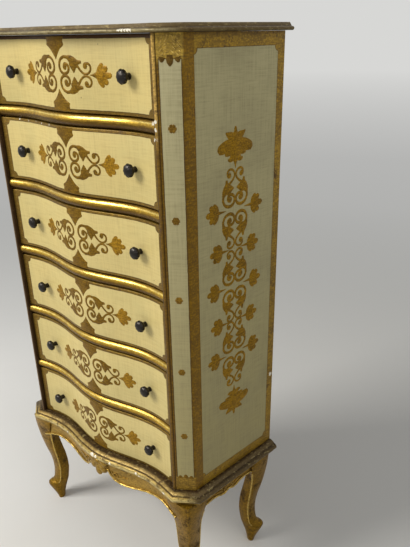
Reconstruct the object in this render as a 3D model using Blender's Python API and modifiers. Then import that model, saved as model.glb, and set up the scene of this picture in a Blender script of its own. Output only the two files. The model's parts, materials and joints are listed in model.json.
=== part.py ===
"""A tall chest of six drawers with a serpentine front, canted corners and cabriole legs.

Sizes are in metres. +Z is up and the drawers open towards -Y. The origin lies on the floor,
under the middle of the chest's bounding box. Depths are measured backwards from the face of
the stiles that frame the drawers.
"""

import math

import bmesh
import bpy
from mathutils import Vector

# Overall sizes of the case
CASE_WIDTH = 0.625
CASE_DEPTH = 0.3125
CASE_HEIGHT = 0.960
LEG_HEIGHT = 0.307
BASE_THICKNESS = 0.033
TOP_THICKNESS = 0.014
TOP_OVERHANG = 0.021
BASE_OVERHANG = 0.024

# Clearances
SEAT_GAP = 0.0003
COPE_GAP = 0.0006
CUT_OVERRUN = 0.002

# Corner posts and side panels
CANT_WIDTH = 0.040
CANT_DEPTH = 0.029
STILE_BEAD_WIDTH = 0.010
STILE_BEAD_PROUD = 0.003
POST_RETURN = 0.024
POST_DEPTH = 0.030
PANEL_THICKNESS = 0.018
REBATE_WIDTH = 0.009
BACK_THICKNESS = 0.006
BACK_INSET = 0.002

# Serpentine line of the rails' noses, in front of and behind the stile face
CENTRE_SWELL = 0.012
FLANK_HOLLOW = 0.0135
END_SETBACK = 0.003
FLANK_SHARE = 0.695
FRONT_STEPS = 32

# Divider rails
DRAWER_COUNT = 6
RAIL_HEIGHT = 0.0255
RAIL_NOSE = 0.0125
RAIL_REACH = 0.055
NOSE_STEPS = 8

# Drawers
FRONT_SETBACK = 0.0045
FRONT_THINNEST = 0.0135
FRONT_LIP = 0.002
DRAWER_GAP = 0.0012
BOX_SIDE = 0.010
BOX_SIDE_CLEARANCE = 0.002
BOX_HEADROOM = 0.028
BOX_BACK_CLEARANCE = 0.006
GROOVE_RISE = 0.010
GROOVE_DEPTH = 0.005
BOTTOM_THICKNESS = 0.005

# Drawer runners
RUNNER_THICKNESS = 0.012
RUNNER_LEDGE = 0.016
GUIDE_RISE = 0.015
GUIDE_CLEARANCE = 0.0012

# Knobs, turned in one piece with the screw that holds them
KNOB_RADIUS = 0.0135
KNOB_LENGTH = 0.0245
SHANK_RADIUS = 0.0025
SHANK_CLEARANCE = 0.0004
SCREW_HEAD_RADIUS = 0.0045
SCREW_HEAD_THICKNESS = 0.002
KNOB_STEPS = 12
# Share of the radius and share of the length, from the crown of the head to the foot
KNOB_SHARES = (
    (0.0, 1.0),
    (0.45, 0.97),
    (0.80, 0.87),
    (1.0, 0.72),
    (0.95, 0.62),
    (0.55, 0.54),
    (0.31, 0.44),
    (0.30, 0.20),
    (0.46, 0.11),
    (0.52, 0.0),
)

# Moulded edges: share of the thickness from below, and share of the overhang
TOP_EDGE_SHARES = (
    (0.0, 0.84),
    (0.10, 0.95),
    (0.26, 1.0),
    (0.42, 0.94),
    (0.52, 0.78),
    (0.56, 0.68),
    (0.76, 0.58),
    (0.92, 0.50),
    (1.0, 0.44),
)
BASE_EDGE_SHARES = (
    (0.0, 0.60),
    (0.06, 0.78),
    (0.16, 0.93),
    (0.30, 1.0),
    (0.44, 0.97),
    (0.56, 0.86),
    (0.63, 0.76),
    (0.72, 0.70),
    (0.84, 0.56),
    (0.94, 0.36),
    (1.0, 0.16),
)

# Aprons between the legs
APRON_THICKNESS = 0.018
FRONT_APRON_PROUD = 0.008
FRONT_APRON_DROP = 0.053
SIDE_APRON_INSET = 0.004
SIDE_APRON_DROP = 0.044
REAR_APRON_DROP = 0.030
APRON_STOP = 0.020
FRONT_APRON_STEPS = 48
# Share of the half width, and share of the drop, along the lower edge of the front apron
FRONT_APRON_SHARES = (
    (0.0, 0.50),
    (0.13, 0.45),
    (0.16, 0.70),
    (0.21, 0.91),
    (0.28, 0.99),
    (0.34, 1.0),
    (0.41, 0.97),
    (0.50, 0.88),
    (0.60, 0.78),
    (0.70, 0.71),
    (0.79, 0.69),
    (0.87, 0.77),
    (0.94, 0.90),
    (1.0, 1.0),
)
# Share of the length between the two legs, and share of the drop, along a side apron
SIDE_APRON_SHARES = (
    (0.0, 1.0),
    (0.06, 0.91),
    (0.13, 0.84),
    (0.22, 0.80),
    (0.30, 0.84),
    (0.38, 0.97),
    (0.43, 1.0),
    (0.47, 0.92),
    (0.50, 0.86),
)
SIDE_APRON_STEPS = 32

# Carved shell in the middle of the front apron
SHELL_HALF_WIDTH = 0.036
SHELL_DROP = 0.051
SHELL_PROUD = 0.010
SHELL_RIBS = 5
SHELL_RIB_STEPS = 6
SHELL_SCALLOP_SHARE = 0.12
# Share of the outline and share of the relief, from the apron's face to the crown
SHELL_RELIEF_SHARES = ((1.0, 0.0), (1.0, 0.35), (0.86, 0.75), (0.50, 1.0))

# Cabriole legs. The ankle point is the front of the ankle, where the knee and the toe
# stand out furthest beyond it.
ANKLE_SIDE_INSET = 0.0205
FRONT_ANKLE_INSET = 0.018
REAR_ANKLE_INSET = 0.029
KNEE_REACH = 0.034
ANKLE_DEPTH = 0.045
ANKLE_HALF_WIDTH = 0.026
LEG_SIDES = 16
# Share of the leg's height, share of KNEE_REACH in front of the ankle point, share of
# ANKLE_DEPTH behind it, share of ANKLE_HALF_WIDTH to each side, share of the section's
# depth from its front to its widest place, and how keen the ridge down its front is
LEG_SHARES = (
    (0.0, 0.0, 0.46, 0.62, 0.50, 1.0),
    (0.025, 0.06, 0.48, 0.67, 0.50, 1.0),
    (0.07, 0.28, 0.54, 0.73, 0.50, 1.0),
    (0.11, 0.50, 0.61, 0.79, 0.50, 1.0),
    (0.148, 0.69, 0.69, 0.84, 0.48, 1.0),
    (0.172, 0.73, 0.75, 0.86, 0.48, 1.0),
    (0.196, 0.63, 0.80, 0.87, 0.50, 1.02),
    (0.213, 0.36, 0.84, 0.87, 0.50, 1.05),
    (0.235, 0.19, 0.88, 0.88, 0.50, 1.10),
    (0.28, 0.07, 0.93, 0.90, 0.50, 1.15),
    (0.358, 0.0, 1.0, 0.94, 0.50, 1.20),
    (0.42, 0.02, 1.0, 0.97, 0.52, 1.20),
    (0.48, 0.09, 0.96, 1.0, 0.54, 1.22),
    (0.54, 0.21, 0.89, 1.02, 0.57, 1.25),
    (0.606, 0.40, 0.76, 1.03, 0.62, 1.30),
    (0.70, 0.62, 0.58, 1.06, 0.70, 1.38),
    (0.775, 0.76, 0.44, 1.15, 0.78, 1.45),
    (0.85, 0.87, 0.44, 1.38, 0.84, 1.50),
    (0.92, 0.95, 0.48, 1.62, 0.87, 1.50),
    (1.0, 1.0, 0.55, 1.77, 0.88, 1.50),
)

# Sizes worked out from the ones above
CASE_HALF = CASE_WIDTH / 2
OPENING_HALF = CASE_HALF - CANT_WIDTH - STILE_BEAD_WIDTH
STILE_OUTER = CASE_HALF - CANT_WIDTH
BASE_TOP = LEG_HEIGHT + BASE_THICKNESS
TOP_UNDERSIDE = BASE_TOP + CASE_HEIGHT
OPENING_HEIGHT = (CASE_HEIGHT - RAIL_HEIGHT * (DRAWER_COUNT - 1)) / DRAWER_COUNT
FLANK_PLACE = OPENING_HALF * FLANK_SHARE
FRONT_INNER = FLANK_HOLLOW + FRONT_SETBACK + FRONT_THINNEST
SWELL_REACH = CENTRE_SWELL + BASE_OVERHANG
STILE_Y = SWELL_REACH - (CASE_DEPTH + SWELL_REACH) / 2
PANEL_INNER = CASE_HALF - PANEL_THICKNESS
PANEL_START = CANT_DEPTH + POST_RETURN
BACK_FACE = CASE_DEPTH - BACK_INSET - BACK_THICKNESS
BOX_HALF = OPENING_HALF - BOX_SIDE_CLEARANCE
BOX_START = FRONT_INNER + SEAT_GAP
BOX_END = BACK_FACE - SEAT_GAP - BOX_BACK_CLEARANCE
BOX_HEIGHT = OPENING_HEIGHT - BOX_HEADROOM

PIECES = "serpentine_chest"
CUTTERS = "cutters"

# Colour, roughness and metallic value of each finish
FINISHES = {
    "cream_paint": ((0.74, 0.66, 0.40, 1.0), 0.55, 0.0),
    "celadon_paint": ((0.52, 0.52, 0.38, 1.0), 0.55, 0.0),
    "worn_gilding": ((0.55, 0.36, 0.10, 1.0), 0.38, 0.7),
    "rubbed_moulding": ((0.24, 0.18, 0.12, 1.0), 0.45, 0.1),
    "drawer_wood": ((0.46, 0.30, 0.17, 1.0), 0.65, 0.0),
    "dark_bronze": ((0.035, 0.03, 0.028, 1.0), 0.35, 0.8),
}


def clear_scene():
    for old in list(bpy.data.objects):
        bpy.data.objects.remove(old, do_unlink=True)


def collection(name):
    found = bpy.data.collections.get(name)
    if found is None:
        found = bpy.data.collections.new(name)
        bpy.context.scene.collection.children.link(found)
    return found


def finish_material(name):
    found = bpy.data.materials.get(name)
    if found is None:
        colour, roughness, metallic = FINISHES[name]
        found = bpy.data.materials.new(name)
        found.use_nodes = True
        shader = found.node_tree.nodes["Principled BSDF"]
        shader.inputs["Base Color"].default_value = colour
        shader.inputs["Roughness"].default_value = roughness
        shader.inputs["Metallic"].default_value = metallic
    return found


def add_piece(name, mesh, finish, location=(0.0, 0.0, 0.0)):
    """Adds a mesh as one named piece. Its location is given from the stile face."""
    mesh.name = name
    mesh.materials.clear()
    mesh.materials.append(finish_material(finish))
    piece = bpy.data.objects.new(name, mesh)
    piece.location = (location[0], STILE_Y + location[1], location[2])
    collection(PIECES).objects.link(piece)
    return piece


def add_cutter(name, mesh, location=(0.0, 0.0, 0.0)):
    cutter = bpy.data.objects.new(name, mesh)
    cutter.location = (location[0], STILE_Y + location[1], location[2])
    cutter.hide_render = True
    cutter.display_type = "WIRE"
    collection(CUTTERS).objects.link(cutter)
    return cutter


def combine(piece, other, operation="DIFFERENCE"):
    modifier = piece.modifiers.new(operation.lower(), "BOOLEAN")
    modifier.operation = operation
    modifier.solver = "EXACT"
    modifier.object = other


def mesh_from(shape, name):
    bmesh.ops.recalc_face_normals(shape, faces=shape.faces)
    mesh = bpy.data.meshes.new(name)
    shape.to_mesh(mesh)
    shape.free()
    return mesh


def box_mesh(name, width, depth, height):
    """A box about its own centre."""
    shape = bmesh.new()
    bmesh.ops.create_cube(shape, size=1.0)
    bmesh.ops.scale(shape, vec=Vector((width, depth, height)), verts=shape.verts)
    return mesh_from(shape, name)


def plate_mesh(name, outline, thickness):
    """A flat outline in X and Y, filled and extruded to both sides of Z = 0."""
    curve = bpy.data.curves.new(name, "CURVE")
    curve.dimensions = "2D"
    curve.fill_mode = "BOTH"
    curve.extrude = thickness / 2
    spline = curve.splines.new("POLY")
    spline.points.add(len(outline) - 1)
    for point, (across, along) in zip(spline.points, outline):
        point.co = (across, along, 0.0, 1.0)
    spline.use_cyclic_u = True
    carrier = bpy.data.objects.new(name, curve)
    bpy.context.scene.collection.objects.link(carrier)
    evaluated = carrier.evaluated_get(bpy.context.evaluated_depsgraph_get())
    mesh = bpy.data.meshes.new_from_object(evaluated)
    bpy.data.objects.remove(carrier, do_unlink=True)
    bpy.data.curves.remove(curve)
    shape = bmesh.new()
    shape.from_mesh(mesh)
    bmesh.ops.remove_doubles(shape, verts=shape.verts, dist=SEAT_GAP / 10)
    bpy.data.meshes.remove(mesh)
    return mesh_from(shape, name)


def loft_mesh(name, rings):
    """Joins rings of equally many points, in order, and closes the first and the last."""
    shape = bmesh.new()
    loops = [[shape.verts.new(point) for point in ring] for ring in rings]
    count = len(loops[0])
    for lower, upper in zip(loops, loops[1:]):
        for i in range(count):
            j = (i + 1) % count
            shape.faces.new((lower[i], lower[j], upper[j], upper[i]))
    shape.faces.new(list(reversed(loops[0])))
    shape.faces.new(loops[-1])
    return mesh_from(shape, name)


def smooth(mesh, angle=math.radians(35)):
    mesh.shade_smooth()
    mesh.set_sharp_from_angle(angle=angle)


def read_shares(table, share):
    """Reads a table of pairs at a share, with an easy curve from each pair to the next."""
    for (start, low), (end, high) in zip(table, table[1:]):
        if share <= end:
            along = (share - start) / (end - start)
            ease = along * along * (3 - 2 * along)
            return low + (high - low) * ease
    return table[-1][1]


def serpentine(across):
    """How far behind the stile face the rail noses lie, at a distance from the middle."""
    across = abs(across)
    if across < FLANK_PLACE:
        swing = (CENTRE_SWELL + FLANK_HOLLOW) / 2
        return FLANK_HOLLOW - swing * (1 + math.cos(math.pi * across / FLANK_PLACE))
    turn = min((across - FLANK_PLACE) / (OPENING_HALF - FLANK_PLACE), 1.0)
    return END_SETBACK + (FLANK_HOLLOW - END_SETBACK) * math.cos(math.pi / 2 * turn)


def front_stations(half, steps):
    return [half * (2 * i / steps - 1) for i in range(steps + 1)]


def board_outline(overhang):
    """The plan of the case, grown by an overhang at the front and sides, flush behind."""
    cant = math.hypot(CANT_WIDTH, CANT_DEPTH)
    run = CANT_WIDTH / cant
    rise = CANT_DEPTH / cant
    front = [(x, serpentine(x) - overhang) for x in front_stations(OPENING_HALF, FRONT_STEPS)]
    right = [
        (STILE_OUTER + overhang * (1 - run) / rise, -overhang),
        (CASE_HALF + overhang, CANT_DEPTH - overhang * (1 - rise) / run),
        (CASE_HALF + overhang, CASE_DEPTH),
    ]
    left = [(-x, y) for x, y in reversed(right)]
    return front + right + left


def moulded_board(name, underside, thickness, overhang, edge_shares, finish):
    rings = []
    for height_share, reach_share in edge_shares:
        outline = board_outline(overhang * reach_share)
        rings.append([(x, y, thickness * height_share) for x, y in outline])
    mesh = loft_mesh(name, rings)
    smooth(mesh)
    return add_piece(name, mesh, finish, (0.0, 0.0, underside))


def make_boards():
    moulded_board(
        "top_board", TOP_UNDERSIDE, TOP_THICKNESS, TOP_OVERHANG, TOP_EDGE_SHARES, "rubbed_moulding"
    )
    moulded_board(
        "base_board", LEG_HEIGHT, BASE_THICKNESS, BASE_OVERHANG, BASE_EDGE_SHARES, "rubbed_moulding"
    )


def post_outline():
    """The plan of the right corner post: a beaded stile, the canted face and a side return."""
    bead_steps = 6
    outline = []
    for i in range(bead_steps + 1):
        turn = math.pi * i / bead_steps
        across = OPENING_HALF + STILE_BEAD_WIDTH * (1 - math.cos(turn)) / 2
        outline.append((across, -STILE_BEAD_PROUD * math.sin(turn)))
    outline += [
        (CASE_HALF, CANT_DEPTH),
        (CASE_HALF, PANEL_START),
        (PANEL_INNER, PANEL_START),
        (OPENING_HALF, POST_DEPTH),
    ]
    return outline


def panel_outline():
    """The plan of the right side panel, with the rebate that holds the back."""
    return [
        (CASE_HALF, PANEL_START + SEAT_GAP),
        (CASE_HALF, CASE_DEPTH),
        (PANEL_INNER + REBATE_WIDTH, CASE_DEPTH),
        (PANEL_INNER + REBATE_WIDTH, BACK_FACE),
        (PANEL_INNER, BACK_FACE),
        (PANEL_INNER, PANEL_START + SEAT_GAP),
    ]


def make_case():
    height = CASE_HEIGHT - 2 * SEAT_GAP
    middle = BASE_TOP + CASE_HEIGHT / 2
    for side, sign in (("left", -1), ("right", 1)):
        post = [(sign * x, y) for x, y in post_outline()]
        mesh = plate_mesh(side + "_pilaster", post, height)
        smooth(mesh)
        add_piece(side + "_pilaster", mesh, "celadon_paint", (0.0, 0.0, middle))
        panel = [(sign * x, y) for x, y in panel_outline()]
        mesh = plate_mesh(side + "_side_panel", panel, height)
        add_piece(side + "_side_panel", mesh, "celadon_paint", (0.0, 0.0, middle))
    width = 2 * (PANEL_INNER + REBATE_WIDTH - SEAT_GAP)
    mesh = box_mesh("back_panel", width, BACK_THICKNESS, height)
    add_piece(
        "back_panel", mesh, "drawer_wood", (0.0, BACK_FACE + SEAT_GAP + BACK_THICKNESS / 2, middle)
    )


def opening_bottom(number):
    """The lower edge of a drawer's opening, counting from the top drawer down."""
    below = DRAWER_COUNT - number
    return BASE_TOP + below * (OPENING_HEIGHT + RAIL_HEIGHT)


def make_rails():
    half = OPENING_HALF - SEAT_GAP
    for number in range(1, DRAWER_COUNT):
        name = "divider_rail_%d" % number
        rings = []
        for x in front_stations(half, FRONT_STEPS - FRONT_STEPS // 4):
            face = serpentine(x)
            ring = []
            for i in range(NOSE_STEPS + 1):
                turn = math.pi * i / NOSE_STEPS
                depth = face + RAIL_NOSE * (1 - math.sin(turn))
                ring.append((x, depth, RAIL_HEIGHT / 2 * math.cos(turn)))
            ring.append((x, RAIL_REACH, -RAIL_HEIGHT / 2))
            ring.append((x, RAIL_REACH, RAIL_HEIGHT / 2))
            rings.append(ring)
        mesh = loft_mesh(name, rings)
        smooth(mesh)
        middle = opening_bottom(number) - RAIL_HEIGHT / 2
        add_piece(name, mesh, "worn_gilding", (0.0, 0.0, middle))


def make_runners():
    """L-shaped runners: a ledge under the drawer's side, and a guide beside it."""
    length = BACK_FACE - RAIL_REACH - 2 * SEAT_GAP
    outer = PANEL_INNER - SEAT_GAP
    guide = BOX_HALF + GUIDE_CLEARANCE
    inner = BOX_HALF - RUNNER_LEDGE
    section = [
        (inner, -RUNNER_THICKNESS),
        (outer, -RUNNER_THICKNESS),
        (outer, GUIDE_RISE),
        (guide, GUIDE_RISE),
        (guide, 0.0),
        (inner, 0.0),
    ]
    for number in range(1, DRAWER_COUNT):
        for side, sign in (("left", -1), ("right", 1)):
            name = "runner_%d_%s" % (number, side)
            mesh = plate_mesh(name, [(sign * x, z) for x, z in section], length)
            middle = RAIL_REACH + SEAT_GAP + length / 2
            runner = add_piece(name, mesh, "drawer_wood", (0.0, middle, opening_bottom(number)))
            runner.rotation_euler = (math.pi / 2, 0.0, 0.0)


def face_line():
    """The stations across a drawer front, and how far its face lies behind the stiles."""
    half = OPENING_HALF - DRAWER_GAP
    return [(x, serpentine(x) + FRONT_SETBACK) for x in front_stations(half, FRONT_STEPS)]


def foremost_face(low, high):
    """The least depth of the drawer's face between two places across it."""
    line = face_line()
    depths = [y for x, y in line if low <= x <= high]
    for (x0, y0), (x1, y1) in zip(line, line[1:]):
        for place in (low, high):
            if x0 <= place <= x1:
                depths.append(y0 + (y1 - y0) * (place - x0) / (x1 - x0))
    return min(depths)


def drawer_front_mesh(name, height):
    rings = []
    for level, inset in ((0.0, FRONT_LIP), (FRONT_LIP, 0.0), (height - FRONT_LIP, 0.0), (height, FRONT_LIP)):
        ring = [(x, y + inset, level) for x, y in face_line()]
        half = ring[-1][0]
        ring += [(half, FRONT_INNER, level), (-half, FRONT_INNER, level)]
        rings.append(ring)
    mesh = loft_mesh(name, rings)
    smooth(mesh)
    return mesh


def box_outline():
    """The plan of a drawer's two sides and back."""
    inner = BOX_HALF - BOX_SIDE
    return [
        (-BOX_HALF, BOX_START),
        (-BOX_HALF, BOX_END),
        (BOX_HALF, BOX_END),
        (BOX_HALF, BOX_START),
        (inner, BOX_START),
        (inner, BOX_END - BOX_SIDE),
        (-inner, BOX_END - BOX_SIDE),
        (-inner, BOX_START),
    ]


def knob_mesh(name, screw_length):
    """A turned profile along Z, from the crown of the head down to the screw's head."""
    profile = [(KNOB_RADIUS * r, KNOB_LENGTH * h) for r, h in KNOB_SHARES]
    profile += [
        (SHANK_RADIUS, 0.0),
        (SHANK_RADIUS, -screw_length),
        (SCREW_HEAD_RADIUS, -screw_length),
        (SCREW_HEAD_RADIUS, -screw_length - SCREW_HEAD_THICKNESS),
        (0.0, -screw_length - SCREW_HEAD_THICKNESS),
    ]
    mesh = bpy.data.meshes.new(name)
    edges = [(i, i + 1) for i in range(len(profile) - 1)]
    mesh.from_pydata([(r, 0.0, h) for r, h in profile], edges, [])
    return mesh


def make_knob(name, across, middle, carrier):
    foot = KNOB_RADIUS * KNOB_SHARES[-1][0]
    seat = foremost_face(across - foot, across + foot) - SEAT_GAP
    knob = add_piece(
        name, knob_mesh(name, FRONT_INNER + SEAT_GAP - seat), "dark_bronze", (across, seat, middle)
    )
    knob.rotation_euler = (math.pi / 2, 0.0, 0.0)
    screw = knob.modifiers.new("turn", "SCREW")
    screw.steps = KNOB_STEPS
    screw.render_steps = KNOB_STEPS
    screw.use_merge_vertices = True
    screw.merge_threshold = SEAT_GAP / 10
    screw.use_smooth_shade = True
    attach(knob, carrier)


def attach(piece, carrier):
    """Parents a piece to the empty that slides with its drawer, and leaves it in place."""
    piece.location = piece.location - carrier.location
    piece.parent = carrier


def hole_mesh(name):
    shape = bmesh.new()
    bmesh.ops.create_cone(
        shape,
        cap_ends=True,
        segments=KNOB_STEPS,
        radius1=SHANK_RADIUS + SHANK_CLEARANCE,
        radius2=SHANK_RADIUS + SHANK_CLEARANCE,
        depth=2 * FRONT_INNER + CENTRE_SWELL + CUT_OVERRUN,
    )
    return mesh_from(shape, name)


def make_drawer(number):
    prefix = "drawer_%d_" % number
    floor = opening_bottom(number)
    slide = bpy.data.objects.new(prefix + "slide", None)
    slide.location = (0.0, STILE_Y, floor + OPENING_HEIGHT / 2)
    collection(PIECES).objects.link(slide)

    height = OPENING_HEIGHT - 2 * DRAWER_GAP
    mesh = drawer_front_mesh(prefix + "front", height)
    front = add_piece(prefix + "front", mesh, "cream_paint", (0.0, 0.0, floor + DRAWER_GAP))
    attach(front, slide)

    mesh = plate_mesh(prefix + "box", box_outline(), BOX_HEIGHT)
    level = floor + SEAT_GAP + BOX_HEIGHT / 2
    box = add_piece(prefix + "box", mesh, "drawer_wood", (0.0, 0.0, level))
    groove_height = BOTTOM_THICKNESS + 2 * SEAT_GAP
    groove_half = BOX_HALF - BOX_SIDE + GROOVE_DEPTH
    groove_end = BOX_END - BOX_SIDE + GROOVE_DEPTH
    groove_level = floor + SEAT_GAP + GROOVE_RISE + groove_height / 2
    groove_start = BOX_START - CUT_OVERRUN
    mesh = box_mesh(prefix + "groove", 2 * groove_half, groove_end - groove_start, groove_height)
    groove = add_cutter(
        prefix + "groove", mesh, (0.0, (groove_start + groove_end) / 2, groove_level)
    )
    combine(box, groove)
    attach(box, slide)

    bottom_end = groove_end - SEAT_GAP
    mesh = box_mesh(
        prefix + "bottom", 2 * (groove_half - SEAT_GAP), bottom_end - BOX_START, BOTTOM_THICKNESS
    )
    bottom = add_piece(
        prefix + "bottom", mesh, "drawer_wood", (0.0, (BOX_START + bottom_end) / 2, groove_level)
    )
    attach(bottom, slide)

    for side, sign in (("left", -1), ("right", 1)):
        across = sign * FLANK_PLACE
        middle = floor + OPENING_HEIGHT / 2
        hole = add_cutter(prefix + side + "_hole", hole_mesh(prefix + "hole"), (across, 0.0, middle))
        hole.rotation_euler = (math.pi / 2, 0.0, 0.0)
        combine(front, hole)
        make_knob(prefix + side + "_knob", across, middle, slide)


def leg_rings(grow):
    """Sections up a leg: outwards along X, sideways along Y, heights along Z."""
    rings = []
    for height, reach, depth, width, wide_place, keenness in LEG_SHARES:
        front = KNEE_REACH * reach + grow
        rear = -ANKLE_DEPTH * depth - grow
        half_width = ANKLE_HALF_WIDTH * width + grow
        widest = front + (rear - front) * wide_place
        ring = []
        for i in range(LEG_SIDES):
            turn = 2 * math.pi * i / LEG_SIDES
            out, aside = math.cos(turn), math.sin(turn)
            end = front if out > 0 else rear
            along = widest + (end - widest) * abs(out) ** keenness
            across = math.copysign(half_width * abs(aside) ** keenness, aside)
            ring.append((along, across, LEG_HEIGHT * height))
        rings.append(ring)
    return rings


def leg_corners():
    """The ankle point and the outward quarter of each leg."""
    across = CASE_HALF - ANKLE_SIDE_INSET
    back = CASE_DEPTH - REAR_ANKLE_INSET
    return (
        ("front_left_leg", -across, FRONT_ANKLE_INSET, -1, -1),
        ("front_right_leg", across, FRONT_ANKLE_INSET, 1, -1),
        ("rear_left_leg", -across, back, -1, 1),
        ("rear_right_leg", across, back, 1, 1),
    )


def turned_rings(rings, toward_x, toward_y):
    """Turns a leg's sections so that its knee points to a corner of the case."""
    diagonal = math.sqrt(0.5)
    turned = []
    for ring in rings:
        points = []
        for out, aside, height in ring:
            x = (out * toward_x - aside * toward_y) * diagonal
            y = (out * toward_y + aside * toward_x) * diagonal
            points.append((x, y, height))
        turned.append(points)
    return turned


def make_legs():
    """The four legs, and a slightly larger copy of each that copes the aprons' ends."""
    copes = {}
    for name, x, y, toward_x, toward_y in leg_corners():
        rings = leg_rings(0.0)
        rings[-1] = [(out, aside, LEG_HEIGHT - SEAT_GAP) for out, aside, _ in rings[-1]]
        mesh = loft_mesh(name, turned_rings(rings, toward_x, toward_y))
        smooth(mesh, math.radians(50))
        add_piece(name, mesh, "worn_gilding", (x, y, 0.0))
        rings = leg_rings(COPE_GAP)
        rings.append([(out, aside, LEG_HEIGHT + CUT_OVERRUN) for out, aside, _ in rings[-1]])
        mesh = loft_mesh(name + "_cope", turned_rings(rings, toward_x, toward_y))
        copes[name] = add_cutter(name + "_cope", mesh, (x, y, 0.0))
    return copes


def shell_outline(size_share):
    """The fan of the shell: a scalloped round edge below a straight upper edge."""
    points = []
    steps = SHELL_RIBS * SHELL_RIB_STEPS
    for i in range(steps + 1):
        turn = math.pi * i / steps
        ripple = abs(math.sin(SHELL_RIBS * turn))
        reach = size_share * (1 - SHELL_SCALLOP_SHARE * (1 - ripple))
        points.append((SHELL_HALF_WIDTH * reach * math.cos(turn), -SHELL_DROP * reach * math.sin(turn)))
    return points


def make_front_apron(copes):
    half = CASE_HALF - ANKLE_SIDE_INSET - APRON_STOP
    top = LEG_HEIGHT - SEAT_GAP
    rings = []
    for x in front_stations(half, FRONT_APRON_STEPS):
        face = serpentine(x) - FRONT_APRON_PROUD
        rear = face + APRON_THICKNESS
        bottom = top - FRONT_APRON_DROP * read_shares(FRONT_APRON_SHARES, abs(x) / half)
        rings.append([(x, face, top), (x, face, bottom), (x, rear, bottom), (x, rear, top)])
    mesh = loft_mesh("front_apron", rings)
    smooth(mesh)
    apron = add_piece("front_apron", mesh, "worn_gilding")
    face = serpentine(0.0) - FRONT_APRON_PROUD
    root = face + APRON_THICKNESS / 2
    crown = face - SHELL_PROUD
    rings = []
    for size_share, relief_share in SHELL_RELIEF_SHARES:
        depth = root + (crown - root) * relief_share
        points = shell_outline(size_share)
        rings.append([(x, depth, top - SEAT_GAP + z) for x, z in points])
    shell = add_cutter("carved_shell", loft_mesh("carved_shell", rings))
    combine(apron, shell, "UNION")
    combine(apron, copes["front_left_leg"])
    combine(apron, copes["front_right_leg"])


def make_side_aprons(copes):
    start = FRONT_ANKLE_INSET + APRON_STOP
    end = CASE_DEPTH - REAR_ANKLE_INSET - APRON_STOP
    top = LEG_HEIGHT - SEAT_GAP
    outer = CASE_HALF - SIDE_APRON_INSET
    inner = outer - APRON_THICKNESS
    for side, sign in (("left", -1), ("right", 1)):
        rings = []
        for i in range(SIDE_APRON_STEPS + 1):
            share = i / SIDE_APRON_STEPS
            y = start + (end - start) * share
            drop = read_shares(SIDE_APRON_SHARES, min(share, 1 - share))
            bottom = top - SIDE_APRON_DROP * drop
            ring = [(outer, y, top), (outer, y, bottom), (inner, y, bottom), (inner, y, top)]
            rings.append([(sign * x, y, z) for x, y, z in ring])
        mesh = loft_mesh(side + "_apron", rings)
        smooth(mesh)
        apron = add_piece(side + "_apron", mesh, "worn_gilding")
        combine(apron, copes["front_%s_leg" % side])
        combine(apron, copes["rear_%s_leg" % side])


def make_rear_apron(copes):
    half = CASE_HALF - ANKLE_SIDE_INSET - APRON_STOP
    mesh = box_mesh("rear_apron", 2 * half, APRON_THICKNESS, REAR_APRON_DROP)
    depth = CASE_DEPTH - SIDE_APRON_INSET - APRON_THICKNESS / 2
    level = LEG_HEIGHT - SEAT_GAP - REAR_APRON_DROP / 2
    apron = add_piece("rear_apron", mesh, "rubbed_moulding", (0.0, depth, level))
    combine(apron, copes["rear_left_leg"])
    combine(apron, copes["rear_right_leg"])


def main():
    clear_scene()
    make_boards()
    make_case()
    make_rails()
    make_runners()
    for number in range(1, DRAWER_COUNT + 1):
        make_drawer(number)
    copes = make_legs()
    make_front_apron(copes)
    make_side_aprons(copes)
    make_rear_apron(copes)


main()
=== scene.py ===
"""Finishes a tall serpentine chest of drawers in cream and celadon paint with worn gilding.

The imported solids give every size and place. This file models the turned, moulded, carved and
stencilled pieces that show, gives each one its finish, and sets up the stage.
"""

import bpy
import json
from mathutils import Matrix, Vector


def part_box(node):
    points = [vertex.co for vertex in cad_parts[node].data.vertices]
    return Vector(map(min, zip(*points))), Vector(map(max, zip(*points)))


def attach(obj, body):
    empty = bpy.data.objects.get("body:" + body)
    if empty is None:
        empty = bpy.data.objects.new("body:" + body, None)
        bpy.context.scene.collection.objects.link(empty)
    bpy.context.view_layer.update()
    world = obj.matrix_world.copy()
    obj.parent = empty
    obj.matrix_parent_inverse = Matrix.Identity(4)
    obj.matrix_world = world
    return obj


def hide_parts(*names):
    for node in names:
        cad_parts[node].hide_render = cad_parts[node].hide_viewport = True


bl_info = {
    "name": "Serpentine Chest Finish",
    "version": (1, 0, 0),
    "blender": (4, 5, 0),
    "location": "View3D > Sidebar > Chest",
    "description": "Models and finishes a painted and gilt serpentine chest of drawers",
    "category": "Object",
}

import json
import math

import bmesh
import bpy
from mathutils import Matrix, Vector

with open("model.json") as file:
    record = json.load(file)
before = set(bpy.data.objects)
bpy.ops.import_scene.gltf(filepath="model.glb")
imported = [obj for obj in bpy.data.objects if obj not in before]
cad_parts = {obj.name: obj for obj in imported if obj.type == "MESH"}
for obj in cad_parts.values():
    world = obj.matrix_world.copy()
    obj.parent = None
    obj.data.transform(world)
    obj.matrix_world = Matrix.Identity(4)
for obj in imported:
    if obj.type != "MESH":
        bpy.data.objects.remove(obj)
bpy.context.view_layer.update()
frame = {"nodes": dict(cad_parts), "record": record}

MM = 0.001
DRAWERS = range(1, 7)
RAILS = range(1, 6)
SIDES = (("left", -1), ("right", 1))

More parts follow.
